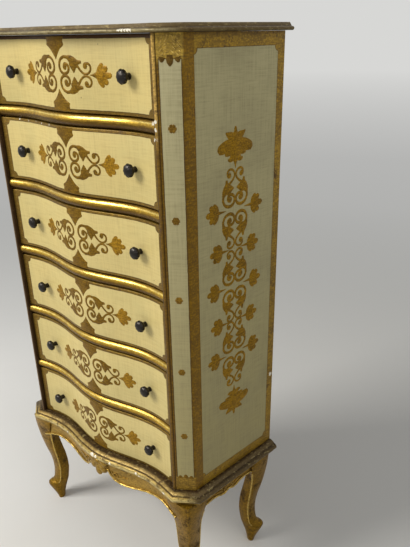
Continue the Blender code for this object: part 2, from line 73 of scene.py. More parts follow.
# Sizes shared with the solids
STILE_BEAD_PROUD = 3 * MM
STILE_BEAD_WIDTH = 10 * MM
CENTRE_SWELL = 12 * MM
FLANK_HOLLOW = 13.5 * MM
END_SETBACK = 3 * MM
FLANK_SHARE = 0.695
FRONT_SETBACK = 4.5 * MM
DRAWER_GAP = 1.2 * MM
CANT_WIDTH = 40 * MM
CANT_DEPTH = 29 * MM
POST_RETURN = 24 * MM
POST_DEPTH = 30 * MM
PANEL_THICKNESS = 18 * MM
RAIL_REACH = 55 * MM
APRON_THICKNESS = 18 * MM
APRON_STOP = 20 * MM
FRONT_APRON_PROUD = 8 * MM
FRONT_APRON_DROP = 53 * MM
SIDE_APRON_INSET = 4 * MM
SIDE_APRON_DROP = 44 * MM
SHELL_HALF_WIDTH = 36 * MM
SHELL_DROP = 51 * MM
SHELL_PROUD = 10 * MM
ANKLE_SIDE_INSET = 20.5 * MM
FRONT_ANKLE_INSET = 18 * MM
REAR_ANKLE_INSET = 29 * MM
KNEE_REACH = 34 * MM
ANKLE_DEPTH = 45 * MM
ANKLE_HALF_WIDTH = 26 * MM
KNOB_LENGTH = 24.5 * MM
SCREW_HEAD_THICKNESS = 2 * MM

# Sizes read from the solids
OPENING_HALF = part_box("right_pilaster")[0].x
CASE_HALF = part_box("right_side_panel")[1].x
CASE_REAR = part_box("right_side_panel")[1].y
STILE_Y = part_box("right_pilaster")[0].y + STILE_BEAD_PROUD
BASE_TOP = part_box("base_board")[1].z
BASE_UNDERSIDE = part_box("base_board")[0].z
TOP_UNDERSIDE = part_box("top_board")[0].z
TOP_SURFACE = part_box("top_board")[1].z
LEG_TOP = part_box("front_right_leg")[1].z
FLANK_PLACE = OPENING_HALF * FLANK_SHARE
DRAWER_FLOORS = {n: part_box("drawer_%d_front" % n)[0].z - DRAWER_GAP for n in DRAWERS}
DRAWER_PITCH = DRAWER_FLOORS[1] - DRAWER_FLOORS[2]
RAIL_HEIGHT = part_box("divider_rail_1")[1].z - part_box("divider_rail_1")[0].z
OPENING_HEIGHT = DRAWER_PITCH - RAIL_HEIGHT
CANT_LENGTH = math.hypot(CANT_WIDTH, CANT_DEPTH)
STILE_OUTER = CASE_HALF - CANT_WIDTH
CASE_MIDDLE = (BASE_TOP + TOP_UNDERSIDE) / 2
CASE_HEIGHT = TOP_UNDERSIDE - BASE_TOP

# Borders of the painted fields on the sides and the posts
SIDE_TOP_BORDER = 25 * MM
SIDE_BASE_BORDER = 27 * MM
SIDE_REAR_BORDER = 22 * MM
SIDE_FIELD_LAP = 1.5 * MM
SIDE_FIELD_FRONT = STILE_Y + CANT_DEPTH + POST_RETURN - SIDE_FIELD_LAP
SIDE_FIELD_REAR = CASE_REAR - SIDE_REAR_BORDER
POST_TOP_CAP = 40 * MM
POST_BASE_CAP = 38 * MM
POST_FIELD_HALF = 19.2 * MM
# Share of the case's height above the base board at which each rosette of a post lies
ROSETTE_SHARES = (0.84271, 0.67083, 0.50313, 0.33125, 0.15938)

# Rounded pieces that are modelled in the scene alone
BAR_DEPTH = 30 * MM
BAR_CUTS = 95
DRAWER_EDGE_ROUNDING = 1.6 * MM
RAIL_NOSE = 12.5 * MM
APRON_BEAD_RADIUS = 2.5 * MM
APRON_BEAD_RISE = 2.3 * MM
APRON_HOLLOW = 2.4 * MM

# Moulded edges: share of the thickness from below, and share of the overhang
TOP_EDGE_SHARES = (
    (0.0, 0.84), (0.05, 0.91), (0.14, 0.97), (0.26, 1.0), (0.37, 0.97), (0.45, 0.90),
    (0.51, 0.79), (0.535, 0.70), (0.57, 0.665), (0.66, 0.63), (0.80, 0.57), (0.92, 0.51),
    (0.98, 0.475), (1.0, 0.44),
)
BASE_EDGE_SHARES = (
    (0.0, 0.56), (0.20, 0.56), (0.24, 0.60), (0.26, 0.71), (0.29, 0.82), (0.35, 0.92),
    (0.42, 0.98), (0.50, 1.0), (0.58, 0.985), (0.655, 0.94), (0.715, 0.865), (0.755, 0.775),
    (0.775, 0.69), (0.785, 0.65), (0.81, 0.63), (0.87, 0.54), (0.93, 0.40), (0.98, 0.26),
    (1.0, 0.16),
)

# Share of the half width, and share of the drop, along the lower edge of the front apron
FRONT_APRON_SHARES = (
    (0.0, 0.50), (0.13, 0.45), (0.16, 0.70), (0.21, 0.91), (0.28, 0.99), (0.34, 1.0),
    (0.41, 0.97), (0.50, 0.88), (0.60, 0.78), (0.70, 0.71), (0.79, 0.69), (0.87, 0.77),
    (0.94, 0.90), (1.0, 1.0),
)
# Share of the length between the two legs, and share of the drop, along a side apron
SIDE_APRON_SHARES = (
    (0.0, 1.0), (0.06, 0.91), (0.13, 0.84), (0.22, 0.80), (0.30, 0.84), (0.38, 0.97),
    (0.43, 1.0), (0.47, 0.92), (0.50, 0.86),
)

# Share of the leg's height, share of KNEE_REACH in front of the ankle point, share of
# ANKLE_DEPTH behind it, share of ANKLE_HALF_WIDTH to each side, share of the section's
# depth from its front to its widest place, and how keen its corners are
LEG_SHARES = (
    (0.0, 0.0, 0.46, 0.62, 0.50, 1.05), (0.025, 0.06, 0.48, 0.67, 0.50, 1.10),
    (0.07, 0.28, 0.54, 0.73, 0.50, 1.15), (0.11, 0.50, 0.61, 0.79, 0.50, 1.20),
    (0.148, 0.69, 0.69, 0.84, 0.48, 1.20), (0.172, 0.73, 0.75, 0.86, 0.48, 1.20),
    (0.196, 0.63, 0.80, 0.87, 0.50, 1.25), (0.213, 0.36, 0.84, 0.87, 0.50, 1.35),
    (0.235, 0.19, 0.88, 0.88, 0.50, 1.45), (0.28, 0.07, 0.93, 0.90, 0.50, 1.55),
    (0.358, 0.0, 1.0, 0.94, 0.50, 1.60), (0.42, 0.02, 1.0, 0.97, 0.52, 1.60),
    (0.48, 0.09, 0.97, 1.03, 0.54, 1.60), (0.54, 0.21, 0.91, 1.07, 0.57, 1.60),
    (0.606, 0.40, 0.80, 1.10, 0.62, 1.60), (0.70, 0.62, 0.66, 1.16, 0.70, 1.60),
    (0.775, 0.76, 0.54, 1.28, 0.78, 1.60), (0.85, 0.87, 0.52, 1.54, 0.84, 1.60),
    (0.92, 0.95, 0.54, 1.82, 0.87, 1.60), (1.0, 1.0, 0.60, 1.98, 0.88, 1.60),
)

# Radius and height above the foot of a knob's head, in millimetres
KNOB_PROFILE = (
    (6.3, 0.0), (6.0, 1.2), (5.8, 3.0), (5.8, 5.6), (6.3, 8.0), (7.8, 9.8), (10.2, 11.4),
    (12.2, 12.8), (13.2, 14.6), (13.5, 16.8), (13.2, 18.6), (12.0, 20.6), (9.8, 22.3),
    (6.8, 23.6), (3.4, 24.3), (0.8, 24.5),
)


class ChestSizes(bpy.types.PropertyGroup):
    """Sizes of the painted and turned details."""

    relief: bpy.props.FloatProperty(
        name="Ornament relief",
        description="How far the gilt ornament stands proud of the paint",
        default=0.5 * MM,
        min=0.1 * MM,
        unit="LENGTH",
    )
    drawer_border: bpy.props.FloatProperty(
        name="Drawer border",
        description="Height of the gilt border above and below a drawer's painted field",
        default=7.5 * MM,
        unit="LENGTH",
    )
    drawer_field: bpy.props.FloatProperty(
        name="Drawer field",
        description="Half the width of a drawer's painted field",
        default=246.5 * MM,
        unit="LENGTH",
    )
    corner_scallop: bpy.props.FloatProperty(
        name="Corner scallop",
        description="Radius of the gilt quarter rounds in the corners of a painted field",
        default=10 * MM,
        unit="LENGTH",
    )
    edge_bead: bpy.props.FloatProperty(
        name="Edge bead",
        description="Radius of the bead that runs along the aprons and down the legs",
        default=2.6 * MM,
        unit="LENGTH",
    )
    knob_petals: bpy.props.IntProperty(
        name="Knob petals",
        description="Number of shallow petals around each knob's head",
        default=9,
        min=3,
    )


def colour_property(name, description, default):
    return bpy.props.FloatVectorProperty(
        name=name, description=description, subtype="COLOR", size=4, default=default + (1.0,)
    )


class ChestColours(bpy.types.PropertyGroup):
    """Colours of the finishes."""

    cream: colour_property("Cream", "Paint of the drawer fronts", (0.62, 0.49, 0.185))
    celadon: colour_property("Celadon", "Paint at the top of the sides", (0.49, 0.44, 0.235))
    post_celadon: colour_property("Post celadon", "Paint at the top of the posts", (0.51, 0.46, 0.26))
    gold: colour_property("Gold leaf", "Leaf on the beads and the plumes", (0.60, 0.41, 0.10))
    bole: colour_property("Bole", "Brown ground where leaf is rubbed", (0.075, 0.036, 0.009))
    taupe: colour_property("Taupe", "Rubbed slope of the mouldings", (0.185, 0.135, 0.065))
    silver: colour_property("Silver", "Pale worn beads of the mouldings", (0.54, 0.43, 0.18))
    bronze: colour_property("Dark bronze", "Metal of the knobs", (0.018, 0.013, 0.005))


def sizes():
    return bpy.context.scene.chest_sizes


def colour(name):
    return tuple(getattr(bpy.context.scene.chest_colours, name))


# Modelling helpers


def deselect():
    if bpy.context.object and bpy.context.object.mode != "OBJECT":
        bpy.ops.object.mode_set(mode="OBJECT")
    bpy.ops.object.select_all(action="DESELECT")


def activate(piece):
    deselect()
    piece.select_set(True)
    bpy.context.view_layer.objects.active = piece


def take(name):
    """Names the object that an operator has just added, and settles its place in its mesh."""
    piece = bpy.context.object
    piece.name = name
    piece.data.name = name
    settle(piece)
    return piece


def settle(piece):
    activate(piece)
    bpy.ops.object.transform_apply(location=True, rotation=True, scale=True)


def apply_modifiers(piece):
    activate(piece)
    for modifier in list(piece.modifiers):
        bpy.ops.object.modifier_apply(modifier=modifier.name)


class Editing:
    """Holds a piece in edit mode, and picks the parts that the next operator acts on."""

    def __init__(self, piece, mode="FACE"):
        self.piece = piece
        self.mode = mode

    def __enter__(self):
        activate(self.piece)
        bpy.ops.object.mode_set(mode="EDIT")
        bpy.ops.mesh.select_mode(type=self.mode)
        bpy.ops.mesh.select_all(action="DESELECT")
        return self

    def __exit__(self, *problem):
        bpy.ops.object.mode_set(mode="OBJECT")
        return False

    def pick(self, test):
        """Selects the faces, edges or vertices that pass a test."""
        bpy.ops.mesh.select_mode(type=self.mode)
        bpy.ops.mesh.select_all(action="DESELECT")
        shape = bmesh.from_edit_mesh(self.piece.data)
        parts = {"FACE": shape.faces, "EDGE": shape.edges, "VERT": shape.verts}[self.mode]
        shape.normal_update()
        for part in parts:
            if test(part):
                part.select_set(True)
        shape.select_flush_mode()
        bmesh.update_edit_mesh(self.piece.data)


def smooth(piece, degrees=35):
    """Shades a piece smooth, and keeps edges sharp that turn by more than some degrees."""
    activate(piece)
    bpy.ops.object.shade_smooth_by_angle(angle=math.radians(degrees))


def recalculate(piece):
    """Turns every face outwards."""
    with Editing(piece):
        bpy.ops.mesh.select_all(action="SELECT")
        bpy.ops.mesh.normals_make_consistent(inside=False)


def runs_across(edge):
    line = edge.verts[1].co - edge.verts[0].co
    return abs(line.x) > 0.9 * line.length


def add_front_bar(name, node, setback, rear, rounding, segments):
    """Adds a bar as wide and high as a solid, with a rounded face on the serpentine line.

    rounding is the radius along the upper and lower edges of the face.
    """
    low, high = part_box(node)
    low.y, high.y = 0, BAR_DEPTH
    deselect()
    bpy.ops.mesh.primitive_cube_add(size=1, location=(low + high) / 2, scale=high - low)
    bar = take(name)
    with Editing(bar, "EDGE") as editing:
        editing.pick(runs_across)
        bpy.ops.mesh.subdivide(number_cuts=BAR_CUTS)
        editing.pick(lambda edge: runs_across(edge) and max(v.co.y for v in edge.verts) < MM)
        bpy.ops.mesh.bevel(offset=rounding, segments=segments, affect="EDGES")
    for vert in bar.data.vertices:
        if vert.co.y > BAR_DEPTH - MM:
            vert.co.y = rear
        else:
            vert.co.y += STILE_Y + setback + serpentine(vert.co.x)
    smooth(bar)
    return bar


def add_sections(name, rings):
    """Adds a closed ring, and extrudes it from one section to the next."""
    deselect()
    bpy.ops.mesh.primitive_circle_add(vertices=len(rings[0]), radius=1, fill_type="NGON")
    piece = take(name)
    with Editing(piece):
        shape = bmesh.from_edit_mesh(piece.data)
        place = shape.verts.layers.int.new("place")
        for i, vert in enumerate(shape.verts):
            vert[place] = i
            vert.co = rings[0][i]
        for face in shape.faces:
            face.select_set(True)
        bmesh.update_edit_mesh(piece.data)
        for ring in rings[1:]:
            bpy.ops.mesh.extrude_region_move()
            shape = bmesh.from_edit_mesh(piece.data)
            place = shape.verts.layers.int["place"]
            for vert in shape.verts:
                if vert.select:
                    vert.co = ring[vert[place]]
            bmesh.update_edit_mesh(piece.data)
    piece.data.attributes.remove(piece.data.attributes["place"])
    recalculate(piece)
    return piece


def add_drawing(name, strokes, steps, resolution):
    """Draws tapering strokes as round tubes. A point is x, y, z and half the stroke's width."""
    deselect()
    bpy.ops.curve.primitive_bezier_curve_add()
    drawing = bpy.context.object
    drawing.data.splines.clear()
    drawing.data.dimensions = "3D"
    drawing.data.bevel_depth = 1.0
    drawing.data.bevel_resolution = resolution
    drawing.data.use_fill_caps = True
    drawing.data.resolution_u = steps
    for stroke in strokes:
        spline = drawing.data.splines.new("BEZIER")
        spline.bezier_points.add(len(stroke) - 1)
        for point, (x, y, z, half) in zip(spline.bezier_points, stroke):
            point.co = (x, y, z)
            point.radius = half
            point.handle_left_type = "AUTO"
            point.handle_right_type = "AUTO"
    activate(drawing)
    bpy.ops.object.convert(target="MESH")
    piece = take(name)
    with Editing(piece, "VERT"):
        bpy.ops.mesh.select_all(action="SELECT")
        bpy.ops.mesh.remove_doubles(threshold=0.002 * MM)
    return piece


def add_beads(name, lines):
    """Draws beads along lines of places, each place with its own radius."""
    beads = add_drawing(name, lines, 2, 3)
    recalculate(beads)
    smooth(beads, 60)
    return beads


def add_strokes(name, strokes, relief):
    """Draws strokes across and up, and presses them into a low crowned relief towards -Y."""
    flat = [[(across, 0.0, up, half) for across, up, half in stroke] for stroke in strokes]
    piece = add_drawing(name, flat, 5, 2)
    for vert in piece.data.vertices:
        lift = max(-vert.co.y, 0.0)
        crown = 0.03 * lift
        vert.co.y = -crown - relief * (1 - math.exp(-2.5 * lift / relief)) if lift else relief / 3
    recalculate(piece)
    return piece


def copied(piece, name):
    made = piece.copy()
    made.data = piece.data.copy()
    made.name = name
    made.data.name = name
    bpy.context.scene.collection.objects.link(made)
    return made


def moved(piece, matrix):
    """Moves a piece's mesh, and turns its faces outwards again where it was mirrored."""
    piece.data.transform(matrix)
    if matrix.to_3x3().determinant() < 0:
        piece.data.flip_normals()
    return piece


def joined(pieces, name):
    deselect()
    for piece in pieces:
        piece.select_set(True)
    bpy.context.view_layer.objects.active = pieces[0]
    bpy.ops.object.join()
    piece = bpy.context.object
    piece.name = name
    piece.data.name = name
    return piece


def mirrored(sign):
    return Matrix.Diagonal((sign, 1, 1, 1))


def finish_piece(piece, finish, body, slot, *nodes):
    """Gives a piece its finish and its body, and hides the solids it stands for. Its slot is not used.
    """
    piece.data.materials.clear()
    piece.data.materials.append(material(finish))
    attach(piece, body)
    if nodes:
        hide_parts(*nodes)


def place_copy(blank, name, matrix, finish, body, slot, *nodes):
    """Sets a finished copy of a blank in its place."""
    finish_piece(moved(copied(blank, name), matrix), finish, body, slot, *nodes)


def discard(*blanks):
    for blank in blanks:
        bpy.data.objects.remove(blank)


def read_shares(table, share):
    """Reads a table of pairs at a share, with an easy curve from each pair to the next."""
    for (start, low), (end, high) in zip(table, table[1:]):
        if share <= end:
            along = (share - start) / (end - start)
            return low + (high - low) * along * along * (3 - 2 * along)
    return table[-1][1]


def eased(rows, steps):
    """Adds even steps on a flowing curve between the rows of a table."""
    flowing = []
    for i in range(len(rows) - 1):
        four = rows[max(i - 1, 0)], rows[i], rows[i + 1], rows[min(i + 2, len(rows) - 1)]
        for k in range(steps):
            t = k / steps
            row = []
            for a, b, c, d in zip(*four):
                curve = (2 * a - 5 * b + 4 * c - d) * t * t + (3 * b - a - 3 * c + d) * t ** 3
                row.append(b + ((c - a) * t + curve) / 2)
            flowing.append(tuple(row))
    return flowing + [rows[-1]]


# Lines of the case


def serpentine(across):
    """How far behind the stile face the rail noses lie."""
    across = abs(across)
    if across < FLANK_PLACE:
        swing = (CENTRE_SWELL + FLANK_HOLLOW) / 2
        return FLANK_HOLLOW - swing * (1 + math.cos(math.pi * across / FLANK_PLACE))
    turn = min((across - FLANK_PLACE) / (OPENING_HALF - FLANK_PLACE), 1.0)
    return END_SETBACK + (FLANK_HOLLOW - END_SETBACK) * math.cos(math.pi / 2 * turn)


def follow_front(piece, setback=0.0):
    """Carries a piece that was modelled on Y = 0 to the serpentine line."""
    for vert in piece.data.vertices:
        vert.co.y += STILE_Y + setback + serpentine(vert.co.x)


def stations(half, steps):
    return [half * (2 * i / steps - 1) for i in range(steps + 1)]


def board_outline(overhang, steps=72):
    """The plan of the case, grown at the front and sides, and flush behind."""
    run = CANT_WIDTH / CANT_LENGTH
    rise = CANT_DEPTH / CANT_LENGTH
    front = [(x, STILE_Y + serpentine(x) - overhang) for x in stations(OPENING_HALF, steps)]
    right = [
        (STILE_OUTER + overhang * (1 - run) / rise, STILE_Y - overhang),
        (CASE_HALF + overhang, STILE_Y + CANT_DEPTH - overhang * (1 - rise) / run),
        (CASE_HALF + overhang, CASE_REAR),
    ]
    return front + right + [(-x, y) for x, y in reversed(right)]


# Node helpers


def put(tree, kind, inputs=None, **options):
    """Adds a shader node, sets its options, and fills or links its inputs."""
    made = tree.nodes.new("ShaderNode" + kind)
    for key, value in options.items():
        setattr(made, key, value)
    fill(tree, made, inputs or {})
    return made


def fill(tree, node, inputs):
    for key, value in inputs.items():
        if isinstance(value, bpy.types.NodeSocket):
            tree.links.new(value, node.inputs[key])
        else:
            node.inputs[key].default_value = value


def calc(tree, operation, *values):
    return put(tree, "Math", dict(enumerate(values)), operation=operation).outputs[0]


def times(tree, first, second):
    return calc(tree, "MULTIPLY", first, second)


def plus(tree, first, second):
    return calc(tree, "ADD", first, second)


def minus(tree, first, second):
    return calc(tree, "SUBTRACT", first, second)


def blend_colours(tree, factor, first, second, how="MIX"):
    inputs = {0: factor, 6: first, 7: second}
    return put(tree, "Mix", inputs, data_type="RGBA", blend_type=how).outputs[2]


def blend_numbers(tree, factor, first, second):
    return put(tree, "Mix", {0: factor, 2: first, 3: second}).outputs[0]


def step_between(tree, value, low, high):
    """0 below one value and 1 above another, with an even rise between them."""
    inputs = {"Value": value, "From Min": low, "From Max": high}
    return put(tree, "MapRange", inputs, clamp=True).outputs[0]


def noise_at(tree, place, scale, detail=3.0, roughness=0.55):
    inputs = {"Vector": place, "Scale": scale, "Detail": detail, "Roughness": roughness}
    return put(tree, "TexNoise", inputs).outputs["Fac"]


def stretched(tree, place, scale):
    return put(tree, "Mapping", {"Vector": place, "Scale": scale}).outputs[0]


def object_place(tree):
    return put(tree, "TexCoord").outputs["Object"]


def axes_of(tree, place):
    return put(tree, "SeparateXYZ", {0: place}).outputs


def height_in(tree):
    return axes_of(tree, object_place(tree))["Z"]


def ramp_of(tree, share, stops):
    ramp = put(tree, "ValToRGB", {0: share})
    elements = ramp.color_ramp.elements
    elements[0].position, elements[0].color = stops[0]
    elements[1].position, elements[1].color = stops[-1]
    for position, tint in stops[1:-1]:
        elements.new(position).color = tint
    return ramp.outputs[0]


def new_group(name, inputs, outputs):
    """Starts a node group. Inputs are name, socket kind and value; outputs name and kind."""
    group = bpy.data.node_groups.new(name, "ShaderNodeTree")
    for label, kind, value in inputs:
        socket = group.interface.new_socket(label, in_out="INPUT", socket_type=kind)
        socket.default_value = value
    for label, kind in outputs:
        group.interface.new_socket(label, in_out="OUTPUT", socket_type=kind)
    entry = group.nodes.new("NodeGroupInput")
    leave = group.nodes.new("NodeGroupOutput")
    return group, entry.outputs, leave


def use_group(tree, name, inputs):
    made = tree.nodes.new("ShaderNodeGroup")
    made.node_tree = bpy.data.node_groups[name]
    fill(tree, made, inputs)
    return made.outputs


COLOUR = "NodeSocketColor"
NUMBER = "NodeSocketFloat"
PLACE = "NodeSocketVector"


def shade(red, green, blue):
    return (red, green, blue, 1.0)


WHITE_GESSO = shade(0.86, 0.80, 0.66)
# Dark brown for painted outlines and specks, and also for painted shade in gaps and grooves
DARK_LINE_AND_PAINTED_SHADE = shade(0.035, 0.018, 0.007)


# Effects shared by the materials


def build_gilding_group():
    """Leaf rubbed through to its brown ground in patches, with dirt in between."""
    group, given, result = new_group(
        "worn_gilding",
        (
            ("Gold", COLOUR, (0.6, 0.4, 0.1, 1.0)),
            ("Ground", COLOUR, (0.14, 0.06, 0.02, 1.0)),
            ("Wear", NUMBER, 0.35),
            ("Patch Scale", NUMBER, 22.0),
            ("Speck Scale", NUMBER, 420.0),
            ("Shine", NUMBER, 0.75),
            ("Dullness", NUMBER, 0.3),
        ),
        (("Color", COLOUR), ("Metallic", NUMBER), ("Roughness", NUMBER), ("Height", NUMBER)),
    )
    place = object_place(group)
    patches = noise_at(group, place, given["Patch Scale"], 5.0, 0.65)
    specks = noise_at(group, place, given["Speck Scale"], 3.0, 0.6)
    brushed = noise_at(group, stretched(group, place, (85, 85, 420)), 1.0, 3.0, 0.6)
    clouds = noise_at(group, place, 14.0, 4.0, 0.6)
    grain = times(group, plus(group, specks, brushed), 0.5)
    mixed = calc(group, "MULTIPLY_ADD", specks, 0.25, patches)
    limit = calc(group, "MULTIPLY_ADD", given["Wear"], -0.42, 0.88)
    worn = step_between(group, mixed, limit, plus(group, limit, 0.14))
    dark = blend_colours(group, 0.65, given["Gold"], given["Ground"])
    bright = blend_colours(group, 0.5, given["Gold"], given["Gold"], "ADD")
    tone = times(group, step_between(group, clouds, 0.42, 0.62), 0.55)
    leaf = blend_colours(group, tone, given["Gold"], dark)
    grime = times(group, step_between(group, grain, 0.49, 0.60), 0.75)
    leaf = blend_colours(group, grime, leaf, dark)
    glint = times(group, step_between(group, grain, 0.48, 0.40), 0.7)
    leaf = blend_colours(group, glint, leaf, bright)
    tint = blend_colours(group, times(group, worn, 0.85), leaf, given["Ground"])
    bare = minus(group, 1.0, worn)
    rough = calc(group, "MULTIPLY_ADD", worn, 0.25, given["Dullness"])
    outcome = {
        "Color": tint,
        "Metallic": times(group, bare, given["Shine"]),
        "Roughness": calc(group, "MULTIPLY_ADD", grain, 0.14, rough),
        "Height": calc(group, "MULTIPLY_ADD", worn, -0.5, grain),
    }
    fill(group, result, outcome)


def build_paint_group():
    """Brushed paint over a fine weave of strokes, with faint stains and a few dark specks."""
    group, given, result = new_group(
        "brushed_paint",
        (
            ("Paint", COLOUR, (0.7, 0.6, 0.3, 1.0)),
            ("Stain", COLOUR, (0.5, 0.45, 0.2, 1.0)),
            ("Streak", COLOUR, (0.4, 0.3, 0.15, 1.0)),
            ("Staining", NUMBER, 0.5),
            ("Streaking", NUMBER, 0.35),
        ),
        (("Color", COLOUR), ("Roughness", NUMBER), ("Height", NUMBER)),
    )
    place = object_place(group)
    upright = noise_at(group, stretched(group, place, (330, 330, 14)), 1.0, 3.0, 0.6)
    level = noise_at(group, stretched(group, place, (22, 22, 420)), 1.0, 3.0, 0.6)
    clouds = noise_at(group, stretched(group, place, (7, 7, 10)), 1.0, 5.0, 0.6)
    weave = times(group, plus(group, upright, level), 0.5)
    stained = times(group, step_between(group, clouds, 0.42, 0.68), given["Staining"])
    tint = blend_colours(group, stained, given["Paint"], given["Stain"])
    streaks = times(group, step_between(group, weave, 0.46, 0.68), given["Streaking"])
    tint = blend_colours(group, streaks, tint, given["Streak"])
    cells = put(group, "TexVoronoi", {"Vector": place, "Scale": 24.0}).outputs["Distance"]
    fly_specks = minus(group, 1.0, step_between(group, cells, 0.02, 0.045))
    tint = blend_colours(group, times(group, fly_specks, 0.55), tint, DARK_LINE_AND_PAINTED_SHADE)
    rough = calc(group, "MULTIPLY_ADD", weave, 0.3, 0.36)
    fill(group, result, {"Color": tint, "Roughness": rough, "Height": weave})


def build_field_group():
    """1 inside a painted field with scalloped corners, and 0 on the border around it."""
    group, given, result = new_group(
        "framed_field",
        (
            ("Across", NUMBER, 0.0),
            ("Up", NUMBER, 0.0),
            ("Half Width", NUMBER, 0.2),
            ("Half Height", NUMBER, 0.06),
            ("Corner", NUMBER, 0.01),
            ("Waver", NUMBER, 0.0012),
        ),
        (("Mask", NUMBER), ("Line", NUMBER)),
    )
    ripple = noise_at(group, object_place(group), 70.0, 2.0, 0.5)
    ripple = times(group, minus(group, ripple, 0.5), given["Waver"])
    beside = minus(group, given["Half Width"], calc(group, "ABSOLUTE", given["Across"]))
    above = minus(group, given["Half Height"], calc(group, "ABSOLUTE", given["Up"]))
    beside = plus(group, beside, ripple)
    above = plus(group, above, ripple)
    squares = calc(group, "MULTIPLY_ADD", above, above, times(group, beside, beside))
    corner = minus(group, calc(group, "SQRT", squares), given["Corner"])
    inside = calc(group, "MINIMUM", calc(group, "MINIMUM", beside, above), corner)
    near = calc(group, "ABSOLUTE", plus(group, inside, 0.5 * MM))
    line = minus(group, 1.0, step_between(group, near, 0.2 * MM, 0.9 * MM))
    mask = step_between(group, inside, 0.0, 0.4 * MM)
    fill(group, result, {"Mask": mask, "Line": line})


def build_chip_group():
    """White gesso that shows in a ragged chip around one place."""
    group, given, result = new_group(
        "gesso_chip",
        (("Centre", PLACE, (0.0, 0.0, 0.0)), ("Radius", NUMBER, 0.006)),
        (("Mask", NUMBER),),
    )
    place = object_place(group)
    gap = put(group, "VectorMath", {0: place, 1: given["Centre"]}, operation="DISTANCE")
    ragged = minus(group, noise_at(group, place, 190.0, 4.0, 0.65), 0.5)
    reach = calc(group, "MULTIPLY_ADD", ragged, 15 * MM, gap.outputs["Value"])
    edge = plus(group, given["Radius"], 0.6 * MM)
    outside = step_between(group, reach, given["Radius"], edge)
    fill(group, result, {"Mask": minus(group, 1.0, outside)})


# Chips of the finish: a table gives across, rise from a level of the piece, and radius, in mm

RAIL_CHIPS = ((242, -3, 2.5), (250, -4, 4), (258, -5, 4.5), (266, -5, 4))
DRAWER_CHIPS = (
    (-200, -2, 1.2), (-165, -2, 1.2), (-130, -2, 1.2), (-100, -2, 1.2), (-60, -2, 1.2),
    (-20, -2, 1.2), (252, -7, 3.5),
)
TOP_CHIPS = ((192, 5, 3.4), (200, 5, 3.4), (208, 5, 3.4), (216, 5, 3.4), (224, 5, 3.4))
BASE_CHIPS = (
    (-4, 1, 6.5), (10, 3, 4), (60, 2, 2.5), (142, 3, 3), (152, 0, 2.2), (245, -2, 4.5),
    (-140, 2, 2.5),
)
POST_CHIP_RISES = (26, 12, -4)
POST_CHIP_RADIUS = 2.5 * MM
SIDE_CHIP_HEIGHT = 540 * MM
SIDE_CHIP_INSET = 8 * MM
SIDE_CHIP_RADIUS = 4.5 * MM


def chips_along(chips, setback, level):
    """Places chips on a face that lies behind the serpentine line by a setback."""
    placed = []
    for across, rise, radius in chips:
        x = across * MM
        place = (x, STILE_Y + serpentine(x) + setback, level + rise * MM)
        placed.append((place, radius * MM))
    return placed


# Materials


def new_material(name):
    made = bpy.data.materials.new(name)
    made.use_nodes = True
    shader = made.node_tree.nodes["Principled BSDF"]
    shader.inputs["Specular IOR Level"].default_value = 0.3
    return made.node_tree, shader


def material(name):
    return bpy.data.materials[name]


def bump(tree, height, distance):
    inputs = {"Height": height, "Distance": distance, "Strength": 1.0}
    return put(tree, "Bump", inputs).outputs[0]


def chipped(tree, tint, chips):
    """Lays white chips over a colour. A chip is its place and its radius."""
    for centre, radius in chips:
        mask = use_group(tree, "gesso_chip", {"Centre": centre, "Radius": radius})["Mask"]
        tint = blend_colours(tree, mask, tint, WHITE_GESSO)
    return tint


def worn_leaf(tree, gold, ground, wear, patches, specks, shine, dullness):
    inputs = {
        "Gold": gold,
        "Ground": ground,
        "Wear": wear,
        "Patch Scale": patches,
        "Speck Scale": specks,
        "Shine": shine,
        "Dullness": dullness,
    }
    return use_group(tree, "worn_gilding", inputs)


def gilding(name, gold, ground=None, wear=0.40, patches=90.0, specks=420.0, shine=0.6,
            dullness=0.3, depth=0.15, chips=()):
    """Worn leaf. gold is a colour, or a function that gives one from a node tree."""
    tree, shader = new_material(name)
    tint = gold(tree) if callable(gold) else gold
    leaf = worn_leaf(tree, tint, ground or colour("bole"), wear, patches, specks, shine, dullness)
    surface = {
        "Base Color": chipped(tree, leaf["Color"], chips),
        "Metallic": leaf["Metallic"],
        "Roughness": leaf["Roughness"],
        "Specular IOR Level": 0.1,
        "Normal": bump(tree, leaf["Height"], depth * MM),
    }
    fill(tree, shader, surface)


